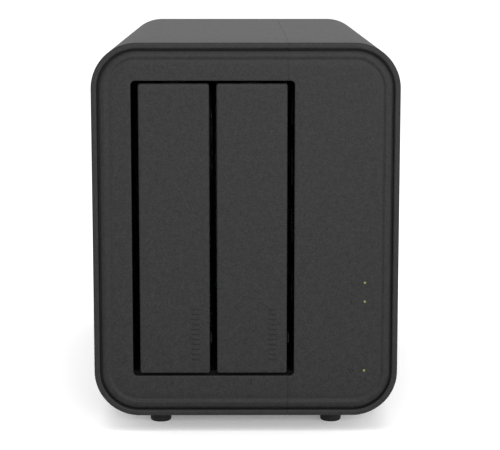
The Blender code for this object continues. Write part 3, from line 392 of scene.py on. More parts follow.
power_mark = bmesh.new()
mark_centre = Vector((41.4 * mm, plateau - ink_film, light_heights[2]))
mark_radius, mark_half, mark_film = 0.75 * mm, 0.12 * mm, 2 * ink_film
mark_section = ((-mark_half, 0), (mark_half, 0), (mark_half, mark_film), (-mark_half, mark_film))
mark_steps, mark_start, mark_sweep = 20, 125, 290
bar_low, bar_high = 0.1 * mm, 1.05 * mm
mark_arc = []
for step in range(mark_steps + 1):
    angle = math.radians(mark_start + mark_sweep * step / mark_steps)
    spoke = Vector((math.cos(angle), 0, math.sin(angle)))
    mark_arc.append([
        mark_centre + spoke * (mark_radius + reach) + Vector((0, depth, 0)) for reach, depth in mark_section
    ])
skin(power_mark, mark_arc)
mark_bar = ((-mark_half, bar_low), (mark_half, bar_low), (mark_half, bar_high), (-mark_half, bar_high))
skin(power_mark, [[mark_centre + Vector((x, y, z)) for x, z in mark_bar] for y in (0, mark_film)])
finished("power_mark", power_mark, ink, "enclosure", "shell")

# ---------------------------------------------------------------- feet
# Four push-in feet of black rubber, each a slightly tapered pad with a barb that snaps into the base.
# Moulding leaves a matt skin with a dull bloom on it.
rubber, rubber_tree, rubber_shader, rubber_place, _ = toned(
    "rubber_moulded_black", "131314", "0D0D0E", "18181A", 1.8 * mm, 4.0, 0.68, ior=1.52, specular=0.2
)
rubber_grain = add(rubber_tree, "ShaderNodeTexNoise", Vector=rubber_place, Scale=1 / (0.25 * mm), Detail=2.0)
rubber_relief = add(
    rubber_tree, "ShaderNodeBump", Height=rubber_grain.outputs["Fac"], Strength=0.25, Distance=0.04 * mm
)
rubber_tree.links.new(rubber_relief.outputs[0], rubber_shader.inputs["Normal"])
foot_profile = (
    (0.0, 0.6), (1.6, 0.6), (1.9, 0.45), (2.1, 0.0), (3.3, 0.0), (3.75, 0.1), (4.05, 0.4), (4.2, 0.9),
    (4.35, 5.2), (4.4, 6.0), (4.3, 6.35), (2.3, 6.35), (2.3, 9.2), (3.2, 9.2), (2.9, 10.0), (2.0, 11.2),
    (0.0, 11.2),
)
for end, y in (("front", -93.1 * mm), ("rear", 93.1 * mm)):
    for side, x in (("left", -34.3 * mm), ("right", 34.3 * mm)):
        foot = bmesh.new()
        drum(foot, foot_profile, (x, y, 0), (0, 0, 1), 36)
        finished(f"rubber_foot_{end}_{side}", foot, rubber, "enclosure", "rubber", f"foot_{end}_{side}")

# ---------------------------------------------------------------- rear panel
# A flat moulding in the same ABS closes the rear. It rests on a rib inside the case, with a round
# opening for the fan, a long one for the port plate and a small one for a security cable.


def dress(material, edge, *names):
    """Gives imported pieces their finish, and softens their edges as a mould or a press does."""
    for name in names:
        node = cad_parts[name]
        node.data.materials.clear()
        node.data.materials.append(material)
        node.data.shade_smooth()
        weld = node.modifiers.new("Weld", "WELD")
        weld.merge_threshold = 0.005 * mm
        flats = node.modifiers.new("Flats", "DECIMATE")
        flats.decimate_type = "DISSOLVE"
        flats.angle_limit = math.radians(1)
        if edge:
            soft = node.modifiers.new("Soft edges", "BEVEL")
            soft.width = edge
            soft.segments = 2
            soft.limit_method = "ANGLE"
            soft.angle_limit = math.radians(35)
            soft.harden_normals = True
        even = node.modifiers.new("Even shading", "WEIGHTED_NORMAL")
        even.weight = 60
        even.keep_sharp = False


panel_abs = eroded_abs("abs_spark_eroded_rear")
dress(panel_abs, 0.25 * mm, "rear_panel")

# ---------------------------------------------------------------- fan grille and port plate
# Both are punched from 1 mm steel sheet and powder coated black. The coating flows into a faint
# orange peel and rounds the punched edges.


def powder_coat(name, colour, dark, light, roughness):
    """Powder coat on steel: a tough matt skin with a slow ripple and a little gloss on its crests."""
    material, tree, shader, _, ripple = toned(name, colour, dark, light, 0.9 * mm, 3.0, roughness, ior=1.5)
    gloss = add(tree, "ShaderNodeMapRange", Value=ripple, To_Min=roughness - 0.07, To_Max=roughness + 0.07)
    tree.links.new(gloss.outputs[0], shader.inputs["Roughness"])
    relief = add(tree, "ShaderNodeBump", Height=ripple, Strength=0.2, Distance=0.08 * mm)
    tree.links.new(relief.outputs[0], shader.inputs["Normal"])
    return material


grille_coat = powder_coat("steel_powder_coated_black", "1F1F20", "19191A", "272728", 0.45)
dress(grille_coat, 0.0, "fan_grille")
dress(grille_coat, 0.12 * mm, "io_shield")

# ---------------------------------------------------------------- screws
# Pan-head machine screws in blackened steel hold the panel to the case and the fan to the panel.
# Each head is cold formed with a cross recess, and its crown catches a soft highlight.


def metal(name, colour, dark, light, patch, detail, roughness, drawn=None, gloss=None, relief=None):
    """A bare or plated metal. Gloss is the range of its roughness, and relief a depth and strength."""
    material, tree, shader, _, drift = toned(
        name, colour, dark, light, patch, detail, roughness, metallic=1.0, drawn=drawn
    )
    if gloss:
        rub = add(tree, "ShaderNodeMapRange", Value=drift, To_Min=gloss[0], To_Max=gloss[1])
        tree.links.new(rub.outputs[0], shader.inputs["Roughness"])
    if relief:
        crease = add(tree, "ShaderNodeBump", Height=drift, Distance=relief[0], Strength=relief[1])
        tree.links.new(crease.outputs[0], shader.inputs["Normal"])
    return material


# Oil darkens the blackening in places, and handling rubs it brighter.
screw_steel = metal(
    "steel_blackened_oiled", "3A3A3C", "2C2C2E", "4E4E50", 0.8 * mm, 4.0, 0.34, gloss=(0.26, 0.44)
)
recess_width, recess_reach, recess_depth = 0.62 * mm, 1.55 * mm, 1.15 * mm
head_crown = (
    (0.0, 1.60), (0.7, 1.58), (1.5, 1.48), (2.1, 1.28), (2.6, 0.9), (2.85, 0.45), (2.9, 0.1), (2.8, 0.0),
)
head_height = 1.6 * mm
thread_pitch, thread_depth = 0.7, 0.28


def cross_screw(name, shank, length, replaced):
    """A pan-head screw with a cross recess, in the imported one's place. Its shank is in mm."""
    low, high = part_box(replaced)
    centre = (low + high) / 2
    x, seat, z = centre.x, high.y - head_height, centre.z
    profile = list(head_crown)
    for turn in range(int(length / thread_pitch)):
        along = -turn * thread_pitch
        profile += [(shank, along - 0.05), (shank - thread_depth, along - 0.4)]
    body = bmesh.new()
    drum(body, profile + [(0.0, -length)], (x, seat, z), (0, 1, 0), 28)
    piece = finished(name, body, screw_steel, "enclosure", "black_steel", replaced)
    cross = bmesh.new()
    for half_x, half_z in ((recess_width, recess_reach), (recess_reach, recess_width)):
        arm = []
        for share, y in ((0.45, head_height - recess_depth), (1.0, 1.55 * mm), (1.02, 2.2 * mm)):
            wide, tall = half_x * share, half_z * share
            arm.append(round_loop((x - wide, z - tall), (x + wide, z + tall), 0.08 * mm, seat + y, 2))
        skin(cross, arm)
    cut_out(piece, cross, crossed=True).set_sharp_from_angle(angle=math.radians(30))


for kind, shank, length in (("case", 1.3, 12.5), ("fan", 1.9, 14.0)):
    for number in range(1, 5):
        cross_screw(f"{kind}_pan_screw_{number}", shank, length, f"{kind}_screw_{number}")

# ---------------------------------------------------------------- network sockets
# Each is a nickel-plated steel can round a black moulding, with eight gilt wires that the plug's
# contacts press on and two small windows for its own lights. The sheet's rolling lines show through
# the plating as fine streaks, and the gold is a thin warm flash.
nickel = metal(
    "steel_nickel_plated", "B9B7B2", "A7A59F", "CBC9C4", 0.25 * mm, 3.0, 0.28, drawn=6 * mm, gloss=(0.2, 0.38)
)
gilt = metal("bronze_gold_flashed", "E2B85C", "D9AB4B", "EBC676", 0.7 * mm, 2.0, 0.22)


def moulded(name, colour, dark, light, roughness, ior, specular=0.35):
    """A plain moulding with a fine even skin, a touch cloudy where the melt flowed."""
    material, tree, shader, place, flow = toned(
        name, colour, dark, light, 5 * mm, 4.0, roughness, ior=ior, specular=specular
    )
    gloss = add(tree, "ShaderNodeMapRange", Value=flow, To_Min=roughness - 0.06, To_Max=roughness + 0.06)
    tree.links.new(gloss.outputs[0], shader.inputs["Roughness"])
    grain = add(tree, "ShaderNodeTexNoise", Vector=place, Scale=1 / (0.3 * mm), Detail=2.0)
    relief = add(tree, "ShaderNodeBump", Height=grain.outputs["Fac"], Strength=0.12, Distance=0.03 * mm)
    tree.links.new(relief.outputs[0], shader.inputs["Normal"])
    return material


# PBT moulds to an even dull black, and the tinted windows come out glossier.
insert_pbt = moulded("pbt_moulded_black", "19191A", "151516", "202021", 0.42, 1.55)
window_pc = moulded("polycarbonate_tinted_amber", "8C6A2A", "7E5E22", "9B7832", 0.2, 1.58)
dress(nickel, 0.2 * mm, "lan_port_1", "lan_port_2")


def brick(mesh, low, high, inset=0.1 * mm):
    """A block between two corners, with a chamfer all round its front and its rear."""
    loops = []
    for grow, y in ((inset, low[1]), (0.0, low[1] + inset), (0.0, high[1] - inset), (inset, high[1])):
        left, right, under, over = low[0] + grow, high[0] - grow, low[2] + grow, high[2] - grow
        loops.append([(left, y, under), (right, y, under), (right, y, over), (left, y, over)])
    skin(mesh, loops)


wire_pitch, wire_half, wire_count = 1.02 * mm, (0.15 * mm, 0.2 * mm), 8
wire_route = ((0.25, 3.2), (0.55, 5.0), (2.3, 11.5), (2.2, 13.6))  # from the cavity's side and mouth, in mm
cavity_inset, cavity_width, cavity_half, lining_wall = 3.3 * mm, 7 * mm, 5.9 * mm, 0.12 * mm
lamp_offset, lamp_half = 6.2 * mm, 1.1 * mm
for number in (1, 2):
    low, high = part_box(f"lan_port_{number}")
    z = (low.z + high.z) / 2
    cavity_x, mouth = low.x + cavity_inset, high.y
    wires = bmesh.new()
    for wire in range(wire_count):
        wire_z = z + (wire - 3.5) * wire_pitch
        wide, tall = wire_half
        loops = []
        for aside, deep in wire_route:
            x, y = cavity_x + aside * mm, mouth - deep * mm
            loops.append([
                (x - wide, y, wire_z - tall), (x + wide, y, wire_z - tall),
                (x + wide, y, wire_z + tall), (x - wide, y, wire_z + tall),
            ])
        skin(wires, loops)
    finished(f"lan_wires_{number}", wires, gilt, "enclosure", "zinc_steel", smooth=30)
    lining = bmesh.new()
    outside = ((cavity_x, z - cavity_half), (cavity_x + cavity_width, z + cavity_half))
    inside = (
        (outside[0][0] + lining_wall, outside[0][1] + lining_wall),
        (outside[1][0] - lining_wall, outside[1][1] - lining_wall),
    )
    near, deep = mouth - 0.5 * mm, mouth - 13.9 * mm
    skin(lining, [
        round_loop(*outside, 0.2 * mm, near, 2), round_loop(*inside, 0.15 * mm, near, 2),
        round_loop(*inside, 0.15 * mm, deep, 2), round_loop(*outside, 0.2 * mm, deep, 2),
    ], closed=True)
    finished(f"lan_lining_{number}", lining, insert_pbt, "enclosure", "nylon", smooth=30)
    lamps = bmesh.new()
    for end in (-1, 1):
        lamp_z = z + end * lamp_offset
        brick(lamps, (low.x + 0.9 * mm, mouth - 0.6 * mm, lamp_z - lamp_half),
              (low.x + 2.7 * mm, mouth + 0.15 * mm, lamp_z + lamp_half), 0.15 * mm)
    finished(f"lan_lamps_{number}", lamps, window_pc, "enclosure", "clear_acrylic", smooth=30)

# ---------------------------------------------------------------- plug-in sockets of the port column
# Two USB sockets and a video socket are folded cans in nickel-plated steel round a black tongue with
# gilt contacts. The power inlet is a black moulding with a plated pin.
# The same PBT, coloured blue through.
tongue_pbt = moulded("pbt_moulded_blue", "1D3F78", "183667", "24498A", 0.4, 1.55)
corner, sheet, flare = 0.9 * mm, 0.4 * mm, 0.1 * mm
spring_offset, spring_half = 4.2 * mm, 1.1 * mm
for number in (1, 2):
    low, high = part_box(f"usb_port_{number}")
    mouth = high.y
    outer, mid, inner = [
        ((low.x + inset, low.z + inset), (high.x - inset, high.z - inset)) for inset in (0.0, flare, sheet)
    ]
    can = bmesh.new()
    skin(can, [
        round_loop(*outer, corner, low.y, 4), round_loop(*outer, corner, mouth - 0.2 * mm, 4),
        round_loop(*mid, corner, mouth, 4), round_loop(*inner, corner - sheet, mouth - 0.35 * mm, 4),
        round_loop(*inner, corner - sheet, mouth - 11.5 * mm, 4),
    ])
    for z in (low.z + spring_offset, high.z - spring_offset):
        brick(can, (low.x + sheet - 0.05 * mm, mouth - 8 * mm, z - spring_half),
              (low.x + sheet + 0.5 * mm, mouth - 3 * mm, z + spring_half), 0.3 * mm)
    finished(f"usb_can_{number}", can, nickel, "enclosure", "zinc_steel", f"usb_port_{number}", smooth=30)
    tongue = bmesh.new()
    brick(tongue, (low.x + 3.7 * mm, mouth - 11.6 * mm, low.z + 1.5 * mm),
          (low.x + 5.5 * mm, mouth - 1.0 * mm, high.z - 1.5 * mm), 0.3 * mm)
    finished(f"usb_tongue_{number}", tongue, tongue_pbt, "enclosure", "nylon", smooth=30)
    pads = bmesh.new()
    for pad in range(4):
        pad_z = (low.z + high.z) / 2 + (pad - 1.5) * 2.2 * mm
        brick(pads, (low.x + 3.6 * mm, mouth - 9.5 * mm, pad_z - 0.5 * mm),
              (low.x + 3.78 * mm, mouth - 1.9 * mm, pad_z + 0.5 * mm), 0.05 * mm)
    finished(f"usb_contacts_{number}", pads, gilt, "enclosure", "zinc_steel", smooth=30)

dress(nickel, 0.12 * mm, "video_port")
low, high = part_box("video_port")
tongue = bmesh.new()
brick(tongue, (low.x + 2.5 * mm, high.y - 9 * mm, low.z + 2.5 * mm),
      (low.x + 3.5 * mm, high.y - 0.9 * mm, high.z - 2.5 * mm), 0.2 * mm)
finished("video_tongue", tongue, insert_pbt, "enclosure", "nylon", smooth=30)
pads = bmesh.new()
for pad in range(10):
    pad_z = (low.z + high.z) / 2 + (pad - 4.5) * 0.95 * mm
    brick(pads, (low.x + 3.45 * mm, high.y - 8 * mm, pad_z - 0.22 * mm),
          (low.x + 3.6 * mm, high.y - 1.4 * mm, pad_z + 0.22 * mm), 0.04 * mm)
finished("video_contacts", pads, gilt, "enclosure", "zinc_steel", smooth=30)

low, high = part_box("power_inlet")
dress(insert_pbt, 0.3 * mm, "power_inlet")
inlet_x, inlet_z = (low.x + high.x) / 2, (low.z + high.z) / 2
inlet_pin = ((0.0, 0.0), (1.2, 0.0), (1.2, 9.2), (1.0, 9.7), (0.5, 10.0), (0.0, 10.05))
inlet_sleeve = ((2.95, 0.0), (2.75, 0.0), (2.7, 0.3), (2.7, 9.4), (2.95, 9.4))
pin = bmesh.new()
drum(pin, inlet_pin, (inlet_x, high.y - 10.9 * mm, inlet_z), (0, 1, 0), 24)
finished("power_inlet_pin", pin, nickel, "enclosure", "zinc_steel")
sleeve = bmesh.new()
drum(sleeve, inlet_sleeve, (inlet_x, high.y - 10 * mm, inlet_z), (0, 1, 0), 32, ring=True)
finished("power_inlet_sleeve", sleeve, nickel, "enclosure", "zinc_steel")

# ---------------------------------------------------------------- power button
# A round cap moulded in ABS and dished for a fingertip. It slides in the port plate in front of a push
# switch, which springs it back. A satin mould gives it a soft even gloss.
cap_abs = moulded("abs_satin_black", "1C1C1D", "18181A", "232325", 0.34, 1.53)
low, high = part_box("power_button")
cap_x, cap_z = (low.x + high.x) / 2, (low.z + high.z) / 2
cap = bmesh.new()
cap_profile = (
    (0.0, -6.8), (1.7, -6.8), (1.8, -6.7), (1.8, -2.8), (4.9, -2.8), (4.95, -2.7), (4.95, -1.9), (4.85, -1.8),
    (4.0, -1.8), (4.0, 0.0), (3.92, 0.2), (3.7, 0.36), (3.4, 0.4), (3.0, 0.3), (2.0, 0.12), (1.0, 0.03),
    (0.0, 0.0),
)
drum(cap, cap_profile, (cap_x, high.y - 0.4 * mm, cap_z), (0, 1, 0), 40)
finished("power_cap", cap, cap_abs, "power_button", "dark_plastic", "power_button")
dress(insert_pbt, 0.2 * mm, "power_switch")

# ---------------------------------------------------------------- fan
# An 80 mm case fan, moulded in glass-filled PBT: a square frame with a round duct and motor seat, and
# a seven-bladed rotor. A blank foil disc is stuck to the seat over the bearing.
# The glass fibres leave the black faintly cloudy.
fan_pbt = moulded("pbt_glass_filled_black", "1B1B1C", "161617", "222223", 0.38, 1.56)
dress(fan_pbt, 0.3 * mm, "fan_frame")
dress(fan_pbt, 0.25 * mm, "fan_rotor")
low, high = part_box("fan_frame")
hub = ((low.x + high.x) / 2, high.y, (low.z + high.z) / 2)
# The foil creased a little as it was stuck down, which breaks up its gloss.
foil = metal(
    "aluminium_foil_label", "8A8B8D", "7D7E80", "96979A", 1.5 * mm, 5.0, 0.45, relief=(0.05 * mm, 0.15)
)
foil_disc = ((0.0, -0.05), (14.5, -0.05), (14.6, 0.0), (14.5, 0.08), (0.0, 0.09))
disc = bmesh.new()
drum(disc, foil_disc, hub, (0, 1, 0), 48)
finished("fan_foil_disc", disc, foil, "enclosure", "aluminium")

# ---------------------------------------------------------------- drive cage and guide rails
# The cage is folded from 1 mm steel sheet, punched with cooling windows and coated black. Nylon guide
# rails line its floor and roof, with ribs that steer each tray's runners.
cage_coat = powder_coat("steel_powder_coated_cage", "18181A", "131314", "1F1F21", 0.5)
dress(cage_coat, 0.15 * mm, "drive_cage")
# Nylon has a dull waxy skin. The guides are coloured the darkest as painted shade, for the little light that
# reaches into the bays.
rail_nylon = moulded("nylon_moulded_black", "151516", "111112", "1A1A1B", 0.5, 1.53, 0.2)
guide_nylon_painted_shade = moulded("nylon_guide_painted_shade", "0D0D0E", "0B0B0C", "101011", 0.6, 1.53, 0.08)
dress(guide_nylon_painted_shade, 0.3 * mm, "guide_rail_bottom", "guide_rail_top")

# ---------------------------------------------------------------- tray faces
# Each tray carries a flat moulded face in the same eroded ABS as the case, with softly rounded edges.
# Low on its right stands a column of short raised dashes, which gives the thumb a grip.
face_abs = eroded_abs("abs_spark_eroded_tray")
tray_radius = 1.0 * mm
# The raised dashes are left polished, and their colour is set a little darker than the eroded skin round
# them.
grip_abs = toned(
    "abs_polished_dashes", "171718", "131314", "1B1B1C", 0.8 * mm, 2.0, 0.4, ior=1.53, specular=0.12
)[0]
face_edge = (
    # inset from the face's outline and distance behind its front, in mm
    (0.30, 2.2), (0.0, 2.0), (0.0, 0.62), (0.05, 0.36), (0.18, 0.15), (0.36, 0.04), (0.62, 0.0), (2.2, 0.0),
)
dash_edge = ((0.0, -0.3), (0.0, 0.02), (0.12, 0.08), (0.25, 0.10))  # inset and rise, in mm
dash_count, dash_pitch, dash_start = 11, 2.0 * mm, 29.2 * mm
dash_half = (1.65 * mm, 0.525 * mm)
dash_shift = 8.1 * mm  # from the middle of the face
for bay in (1, 2):
    low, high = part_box(f"tray_{bay}_face")
    plate = bmesh.new()
    loops = []
    for inset, behind in face_edge:
        inset *= mm
        loops.append(round_loop(
            (low.x + inset, low.z + inset), (high.x - inset, high.z - inset),
            max(tray_radius - inset, 0.2 * mm), plateau + behind * mm, steps=6,
        ))
    skin(plate, loops)
    finished(f"tray_front_{bay}", plate, face_abs, f"tray_{bay}", "shell", f"tray_{bay}_face", smooth=32)
    dashes = bmesh.new()
    x = (low.x + high.x) / 2 + dash_shift
    for number in range(dash_count):
        z = dash_start + number * dash_pitch
        loops = []
        for inset, rise in dash_edge:
            half_x, half_z = dash_half[0] - inset * mm, dash_half[1] - inset * mm
            loops.append(round_loop(
                (x - half_x, z - half_z), (x + half_x, z + half_z), half_z, plateau - rise * mm, steps=4
            ))
        skin(dashes, loops)
    finished(f"tray_grip_{bay}", dashes, grip_abs, f"tray_{bay}", "shell", smooth=32)

# ---------------------------------------------------------------- tray carriers and latches
# Each carrier is moulded in black nylon: a bulkhead, two rails with runners and an open web beside
# the drive. The release lever turns on a pin at its lower front, and the clip strip snaps on top.
dress(rail_nylon, 0.3 * mm, "tray_1_carrier", "tray_2_carrier")
clip_nylon = moulded("nylon_moulded_graphite", "161617", "121213", "1B1B1C", 0.55, 1.53, 0.15)
dress(clip_nylon, 0.25 * mm, "tray_1_clip_strip", "tray_2_clip_strip")
latch_nylon = moulded("nylon_moulded_latch", "0C0C0D", "0A0A0B", "0F0F10", 0.75, 1.53, 0.06)
dress(latch_nylon, 0.15 * mm, "tray_1_latch", "tray_2_latch")
# The pin is bright drawn steel, with its head riveted over.
pivot_steel = metal("steel_bright_drawn", "B5B5B4", "A4A4A3", "C4C4C3", 0.4 * mm, 3.0, 0.25)
rivet_head = ((0.0, -0.1), (1.0, -0.1), (1.0, 0.3), (1.7, 0.32), (1.8, 0.5), (1.6, 0.72), (0.0, 0.8))
rivet_y, rivet_z = plateau + 10.5 * mm, 26.4 * mm
for bay in (1, 2):
    rail_side, face_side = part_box(f"tray_{bay}_carrier")[1].x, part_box(f"tray_{bay}_face")[1].x
    rivet_x = min(rail_side, face_side - 0.8 * mm) - 0.1 * mm
    rivet = bmesh.new()
    drum(rivet, rivet_head, (rivet_x, rivet_y, rivet_z), (1, 0, 0), 24)
    finished(f"latch_rivet_{bay}", rivet, pivot_steel, f"tray_{bay}", "zinc_steel")

# ---------------------------------------------------------------- hard drives
# A 3.5 inch drive lies on its side in each carrier: a die-cast aluminium base, a stamped lid of
# nickel-plated steel held by star-recess screws, and a blank paper label.
# Die casting leaves a grey skin, a little rough and cloudy in places.
cast, cast_tree, cast_shader, cast_place, _ = toned(
    "aluminium_die_cast", "8E8F91", "7C7D7F", "A0A1A3", 9 * mm, 3.0, 0.5, metallic=1.0
)
cast_skin = add(
    cast_tree, "ShaderNodeTexNoise", Vector=cast_place, Scale=1 / (1.1 * mm), Detail=5.0, Roughness=0.65
)
cast_gloss = add(cast_tree, "ShaderNodeMapRange", Value=cast_skin.outputs["Fac"], To_Min=0.42, To_Max=0.6)
cast_tree.links.new(cast_gloss.outputs[0], cast_shader.inputs["Roughness"])
cast_relief = add(
    cast_tree, "ShaderNodeBump", Height=cast_skin.outputs["Fac"], Strength=0.4, Distance=0.08 * mm
)
cast_tree.links.new(cast_relief.outputs[0], cast_shader.inputs["Normal"])
dress(cast, 0.4 * mm, "drive_1_casting", "drive_2_casting")

# Rolling lines in the bright sheet draw its reflections out along the drive.
lid_steel = metal(
    "steel_stamped_bright", "BFC0C1", "ADAEAF", "D0D1D2", 0.3 * mm, 4.0, 0.3, drawn=12 * mm, gloss=(0.22, 0.4)
)
# Coated paper is white with a soft sheen, and its fibres barely show.
paper = toned("paper_label_coated", "E9E8E4", "E2E1DD", "F0EFEB", 0.6 * mm, 4.0, 0.45, ior=1.5)[0]
band_ink = moulded("label_band_ink", "55606B", "4E5963", "5D6873", 0.4, 1.5)
stamping = (
    # inset from the lid's outline and depth below its face, in mm
    (0.2, 1.0), (0.0, 0.9), (0.0, 0.35), (0.12, 0.1), (0.4, 0.0), (5.0, 0.0), (5.4, 0.06), (5.9, 0.3),
    (6.4, 0.38),
)
lid_floor = 0.38 * mm
spindle_ring = (
    (0.0, 0.08), (8.8, 0.08), (9.2, 0.12), (9.6, 0.3), (10.2, 0.38), (14.0, 0.38), (14.6, 0.3), (15.0, 0.05),
    (15.1, -0.2), (0.0, -0.2),
)
pivot_boss = ((0.0, 0.2), (4.5, 0.2), (5.0, 0.32), (7.4, 0.34), (8.0, 0.1), (8.1, -0.2), (0.0, -0.2))
star_head = (
    (0.0, -0.5), (1.0, -0.5), (1.05, 0.1), (1.5, 0.16), (2.2, 0.1), (2.5, -0.1), (2.5, -0.6), (0.0, -0.6),
)
star_inset = 3.6 * mm


def side_loop(low, high, radius, x, steps=6):
    """A rectangle with round corners, standing square to X. Low and high are (y, z) corners."""
    return [(x, u, w) for u, _, w in round_loop(low, high, radius, 0.0, steps)]


def stuck_on(name, low, high, radius, under, over, steps, material, body):
    """A thin sheet with round corners, stuck flat on a lid between two distances along X."""
    sheet = bmesh.new()
    skin(sheet, [side_loop(low, high, radius, x, steps) for x in (under, over)])
    finished(name, sheet, material, body, "zinc_steel")


for bay in (1, 2):
    low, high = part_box(f"drive_{bay}_lid")
    body = f"tray_{bay}"
    lid = bmesh.new()
    skin(lid, [
        side_loop((low.y + inset * mm, low.z + inset * mm), (high.y - inset * mm, high.z - inset * mm),
                  max(5.0 - inset * 0.6, 1.0) * mm, high.x - depth * mm)
        for inset, depth in stamping
    ])
    floor_x = high.x - lid_floor
    drum(lid, spindle_ring, (floor_x, low.y + 52 * mm, (low.z + high.z) / 2), (1, 0, 0), 56)
    drum(lid, pivot_boss, (floor_x, high.y - 34 * mm, low.z + 27 * mm), (1, 0, 0), 40)
    finished(f"drive_cover_{bay}", lid, lid_steel, body, "zinc_steel", f"drive_{bay}_lid", smooth=35)
    heads = bmesh.new()
    for y in (low.y + star_inset, (low.y + high.y) / 2, high.y - star_inset):
        for z in (low.z + star_inset, high.z - star_inset):
            drum(heads, star_head, (high.x, y, z), (1, 0, 0), 20)
    finished(f"drive_cover_screws_{bay}", heads, screw_steel, body, "black_steel")
    face = high.x - 0.30 * mm
    label_low, label_high = (low.y + 72 * mm, low.z + 40 * mm), (high.y - 9 * mm, high.z - 11 * mm)
    stuck_on(f"drive_label_{bay}", label_low, label_high, 1.5 * mm, face - 0.1 * mm, face, 4, paper, body)
    band_high = (label_high[0] - 1.5 * mm, label_high[1] - 1.5 * mm)
    band_low = (label_low[0] + 1.5 * mm, band_high[1] - 7 * mm)
    stuck_on(f"drive_label_band_{bay}", band_low, band_high, 0.5 * mm, face - 0.05 * mm, face + 0.03 * mm, 3,
             band_ink, body)

# ---------------------------------------------------------------- circuit boards
# Glass-epoxy boards under a green solder mask. Copper tracks show through the mask as paler lines.
# The drive boards are screwed to the castings; the backplane and the mainboard stand on studs.
board_mask, board_tree, board_shader = new_material("fr4_green_solder_mask", "1C5A3C", 0.32, ior=1.52)
board_place = add(board_tree, "ShaderNodeTexCoord").outputs["Object"]
board_turn = add(board_tree, "ShaderNodeMapping", Vector=board_place, Rotation=(0.0, math.pi / 2, 0.0))
tracks = add(
    board_tree, "ShaderNodeTexBrick", {"offset": 0.4}, Vector=board_turn.outputs[0], Scale=1 / (6 * mm),
    Mortar_Size=0.035, Brick_Width=1.9, Row_Height=0.21,
)
mask_cloud = add(board_tree, "ShaderNodeTexNoise", Vector=board_place, Scale=1 / (8 * mm), Detail=3.0)
mask_tone = add(
    board_tree, "ShaderNodeMix", {"data_type": "RGBA"}, _0=mask_cloud.outputs["Fac"],
    _6=linear("164D33"), _7=linear("1F6343"),
)
track_tone = add(
    board_tree, "ShaderNodeMix", {"data_type": "RGBA"}, _0=tracks.outputs["Fac"],
    _6=linear("2C7850"), _7=mask_tone.outputs[2],
)
board_tree.links.new(track_tone.outputs[2], board_shader.inputs["Base Color"])
track_relief = add(
    board_tree, "ShaderNodeBump", Height=tracks.outputs["Fac"], Strength=0.15, Distance=0.03 * mm
)
board_tree.links.new(track_relief.outputs[0], board_shader.inputs["Normal"])
dress(board_mask, 0.0, "backplane_board", "mainboard", "memory_module", "light_board")
dress(board_mask, 0.0, "drive_1_board", "drive_2_board")
dress(insert_pbt, 0.15 * mm, "bay_socket_1", "bay_socket_2", "board_link", "memory_socket")
dress(insert_pbt, 0.15 * mm, "fan_header", "light_header")
test_pad = ((0.0, 0.02), (0.55, 0.02), (0.6, 0.0), (0.6, -0.1), (0.0, -0.1))
board_screws = ((5, 5), (5, 80), (38, 44), (66, 80))  # from the board's lower front corner, in mm
for bay in (1, 2):
    low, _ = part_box(f"drive_{bay}_board")
    body = f"tray_{bay}"
    pads = bmesh.new()
    for row in range(6):
        for column in range(9):
            if (row * 5 + column * 3) % 4:
                place = (low.x, low.y + (9 + column * 6.1) * mm, low.z + (34 + row * 7.3) * mm)
                drum(pads, test_pad, place, (-1, 0, 0), 12)
    finished(f"drive_board_pads_{bay}", pads, gilt, body, "zinc_steel")
    heads = bmesh.new()
    for y, z in board_screws:
        drum(heads, star_head, (low.x - 0.1 * mm, low.y + y * mm, low.z + z * mm), (-1, 0, 0), 20)
    finished(f"drive_board_screws_{bay}", heads, screw_steel, body, "black_steel")

# Chips are packed in a flat charcoal epoxy.
epoxy = moulded("epoxy_chip_package", "202123", "1B1C1E", "27282A", 0.5, 1.55)
board_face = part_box("mainboard")[1].x
chip_places = (
    # distance back and height of the middle, then width and height, in mm
    (-46, 88, 14, 14), (-50, 112, 10, 8), (44, 84, 12, 12), (40, 40, 9, 6), (58, 108, 8, 8), (10, 62, 11, 5),
    (-20, 62, 11, 5), (62, 66, 12, 6),
)
chip_edge = ((0.15, -0.1), (0.0, 0.4), (0.15, 1.3))  # inset and rise, in mm
chips = bmesh.new()
for y, z, width, height in chip_places:
    loops = []
    for inset, rise in chip_edge:
        half_y, half_z = width / 2 - inset, height / 2 - inset
        low, high = ((y - half_y) * mm, (z - half_z) * mm), ((y + half_y) * mm, (z + half_z) * mm)
        loops.append(side_loop(low, high, 0.3 * mm, board_face + rise * mm, 2))
    skin(chips, loops)
finished("mainboard_chips", chips, epoxy, "enclosure", "nylon", smooth=25)
capacitor = ((0.0, -0.1), (3.1, -0.1), (3.1, 0.8), (2.9, 1.0), (3.1, 1.2), (3.1, 6.6), (2.8, 7.0), (0.0, 7.0))
capacitor_places = ((-30, 40), (-42, 26), (48, 52), (52, 24), (70, 90), (70, 100), (-60, 72), (-60, 80))
cans = bmesh.new()
for y, z in capacitor_places:
    drum(cans, capacitor, (board_face, y * mm, z * mm), (1, 0, 0), 24)
finished("mainboard_capacitors", cans, foil, "enclosure", "aluminium")

# ---------------------------------------------------------------- heat sink, coin cell, light guide
# The heat sink is cut from an extrusion and left bright, the coin cell is plated steel, and the light
# guide is moulded in clear acrylic. The leads are PVC-covered wire.
# The die leaves fine lines along the fins.
extruded = metal("aluminium_extruded", "C2C3C5", "AEAFB1", "D2D3D5", 0.3 * mm, 3.0, 0.36, drawn=20 * mm)
dress(extruded, 0.15 * mm, "heat_sink")
dress(nickel, 0.3 * mm, "coin_cell")

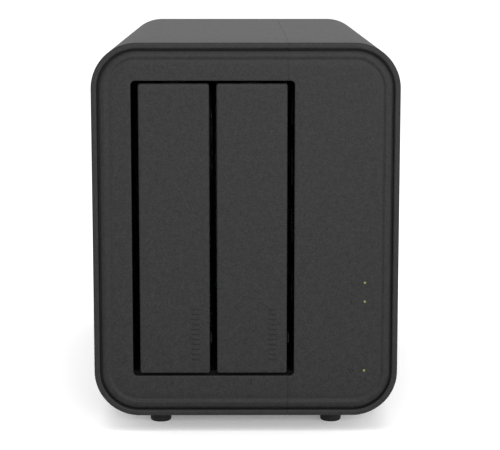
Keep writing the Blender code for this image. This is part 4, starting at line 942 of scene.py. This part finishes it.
# Polished tools leave the guide clear and glossy, with a touch of green in its depth.
acrylic, acrylic_tree, acrylic_shader = new_material("acrylic_clear_moulded", "E8F0DC", 0.08, ior=1.49)
acrylic_shader.inputs["Transmission Weight"].default_value = 0.85
acrylic_place = add(acrylic_tree, "ShaderNodeTexCoord").outputs["Object"]
acrylic_flow = add(acrylic_tree, "ShaderNodeTexNoise", Vector=acrylic_place, Scale=1 / (2 * mm), Detail=2.0)
acrylic_gloss = add(
    acrylic_tree, "ShaderNodeMapRange", Value=acrylic_flow.outputs["Fac"], To_Min=0.04, To_Max=0.14
)
acrylic_tree.links.new(acrylic_gloss.outputs[0], acrylic_shader.inputs["Roughness"])
dress(acrylic, 0.0, "light_guide")
# Soft PVC has a smooth low sheen.
wire_pvc = moulded("pvc_wire_black", "1A1A1B", "161617", "202021", 0.4, 1.54)
dress(wire_pvc, 0.0, "fan_lead", "light_lead")

# ---------------------------------------------------------------- floor and light
# The box stands on a wide light table of white acrylic that glows a little, in a white studio. A soft
# strip light is far in front of it, a little above the lens, with a soft box to the right and another
# overhead.
# Opal acrylic is an even matt white.
table, _, table_shader, _, _ = toned(
    "acrylic_opal_white", "F2F2F2", "F1F1F1", "F5F5F5", 40 * mm, 2.0, 0.9, specular=0.1
)
table_shader.inputs["Emission Color"].default_value = linear("FFFFFF")
table_shader.inputs["Emission Strength"].default_value = 0.20
table_half = 14.0
floor_mesh = bmesh.new()
bmesh.ops.create_grid(floor_mesh, x_segments=8, y_segments=8, size=table_half)
floor_data = bpy.data.meshes.new("light_table")
floor_mesh.to_mesh(floor_data)
floor_mesh.free()
floor_data.materials.append(table)
floor = bpy.data.objects.new("light_table", floor_data)
floor.location = (0, 0, lower[2])
bpy.context.scene.collection.objects.link(floor)

world = bpy.data.worlds.new("white_studio")
world.use_nodes = True
world.node_tree.nodes["Background"].inputs["Color"].default_value = linear("FFFFFF")
world.node_tree.nodes["Background"].inputs["Strength"].default_value = 1.0
bpy.context.scene.world = world


def softbox(name, place, aim, size, power):
    """A rectangular area light that faces a point."""
    data = bpy.data.lights.new(name, "AREA")
    data.shape = "RECTANGLE"
    data.size, data.size_y = size
    data.energy = power
    lamp = bpy.data.objects.new(name, data)
    lamp.location = place
    lamp.rotation_euler = (Vector(aim) - Vector(place)).to_track_quat("-Z", "Y").to_euler()
    bpy.context.scene.collection.objects.link(lamp)


softbox("front_softbox", (0.10, -1.35, 0.44), (0, -0.11, 0.12), (0.7, 0.22), 9.5)
softbox("side_softbox", (1.0, -1.15, 0.22), (0, -0.11, 0.08), (0.5, 0.4), 5.0)
softbox("overhead_softbox", (0, 0, 1.3), (0, 0, 0), (1.0, 1.0), 5.0)
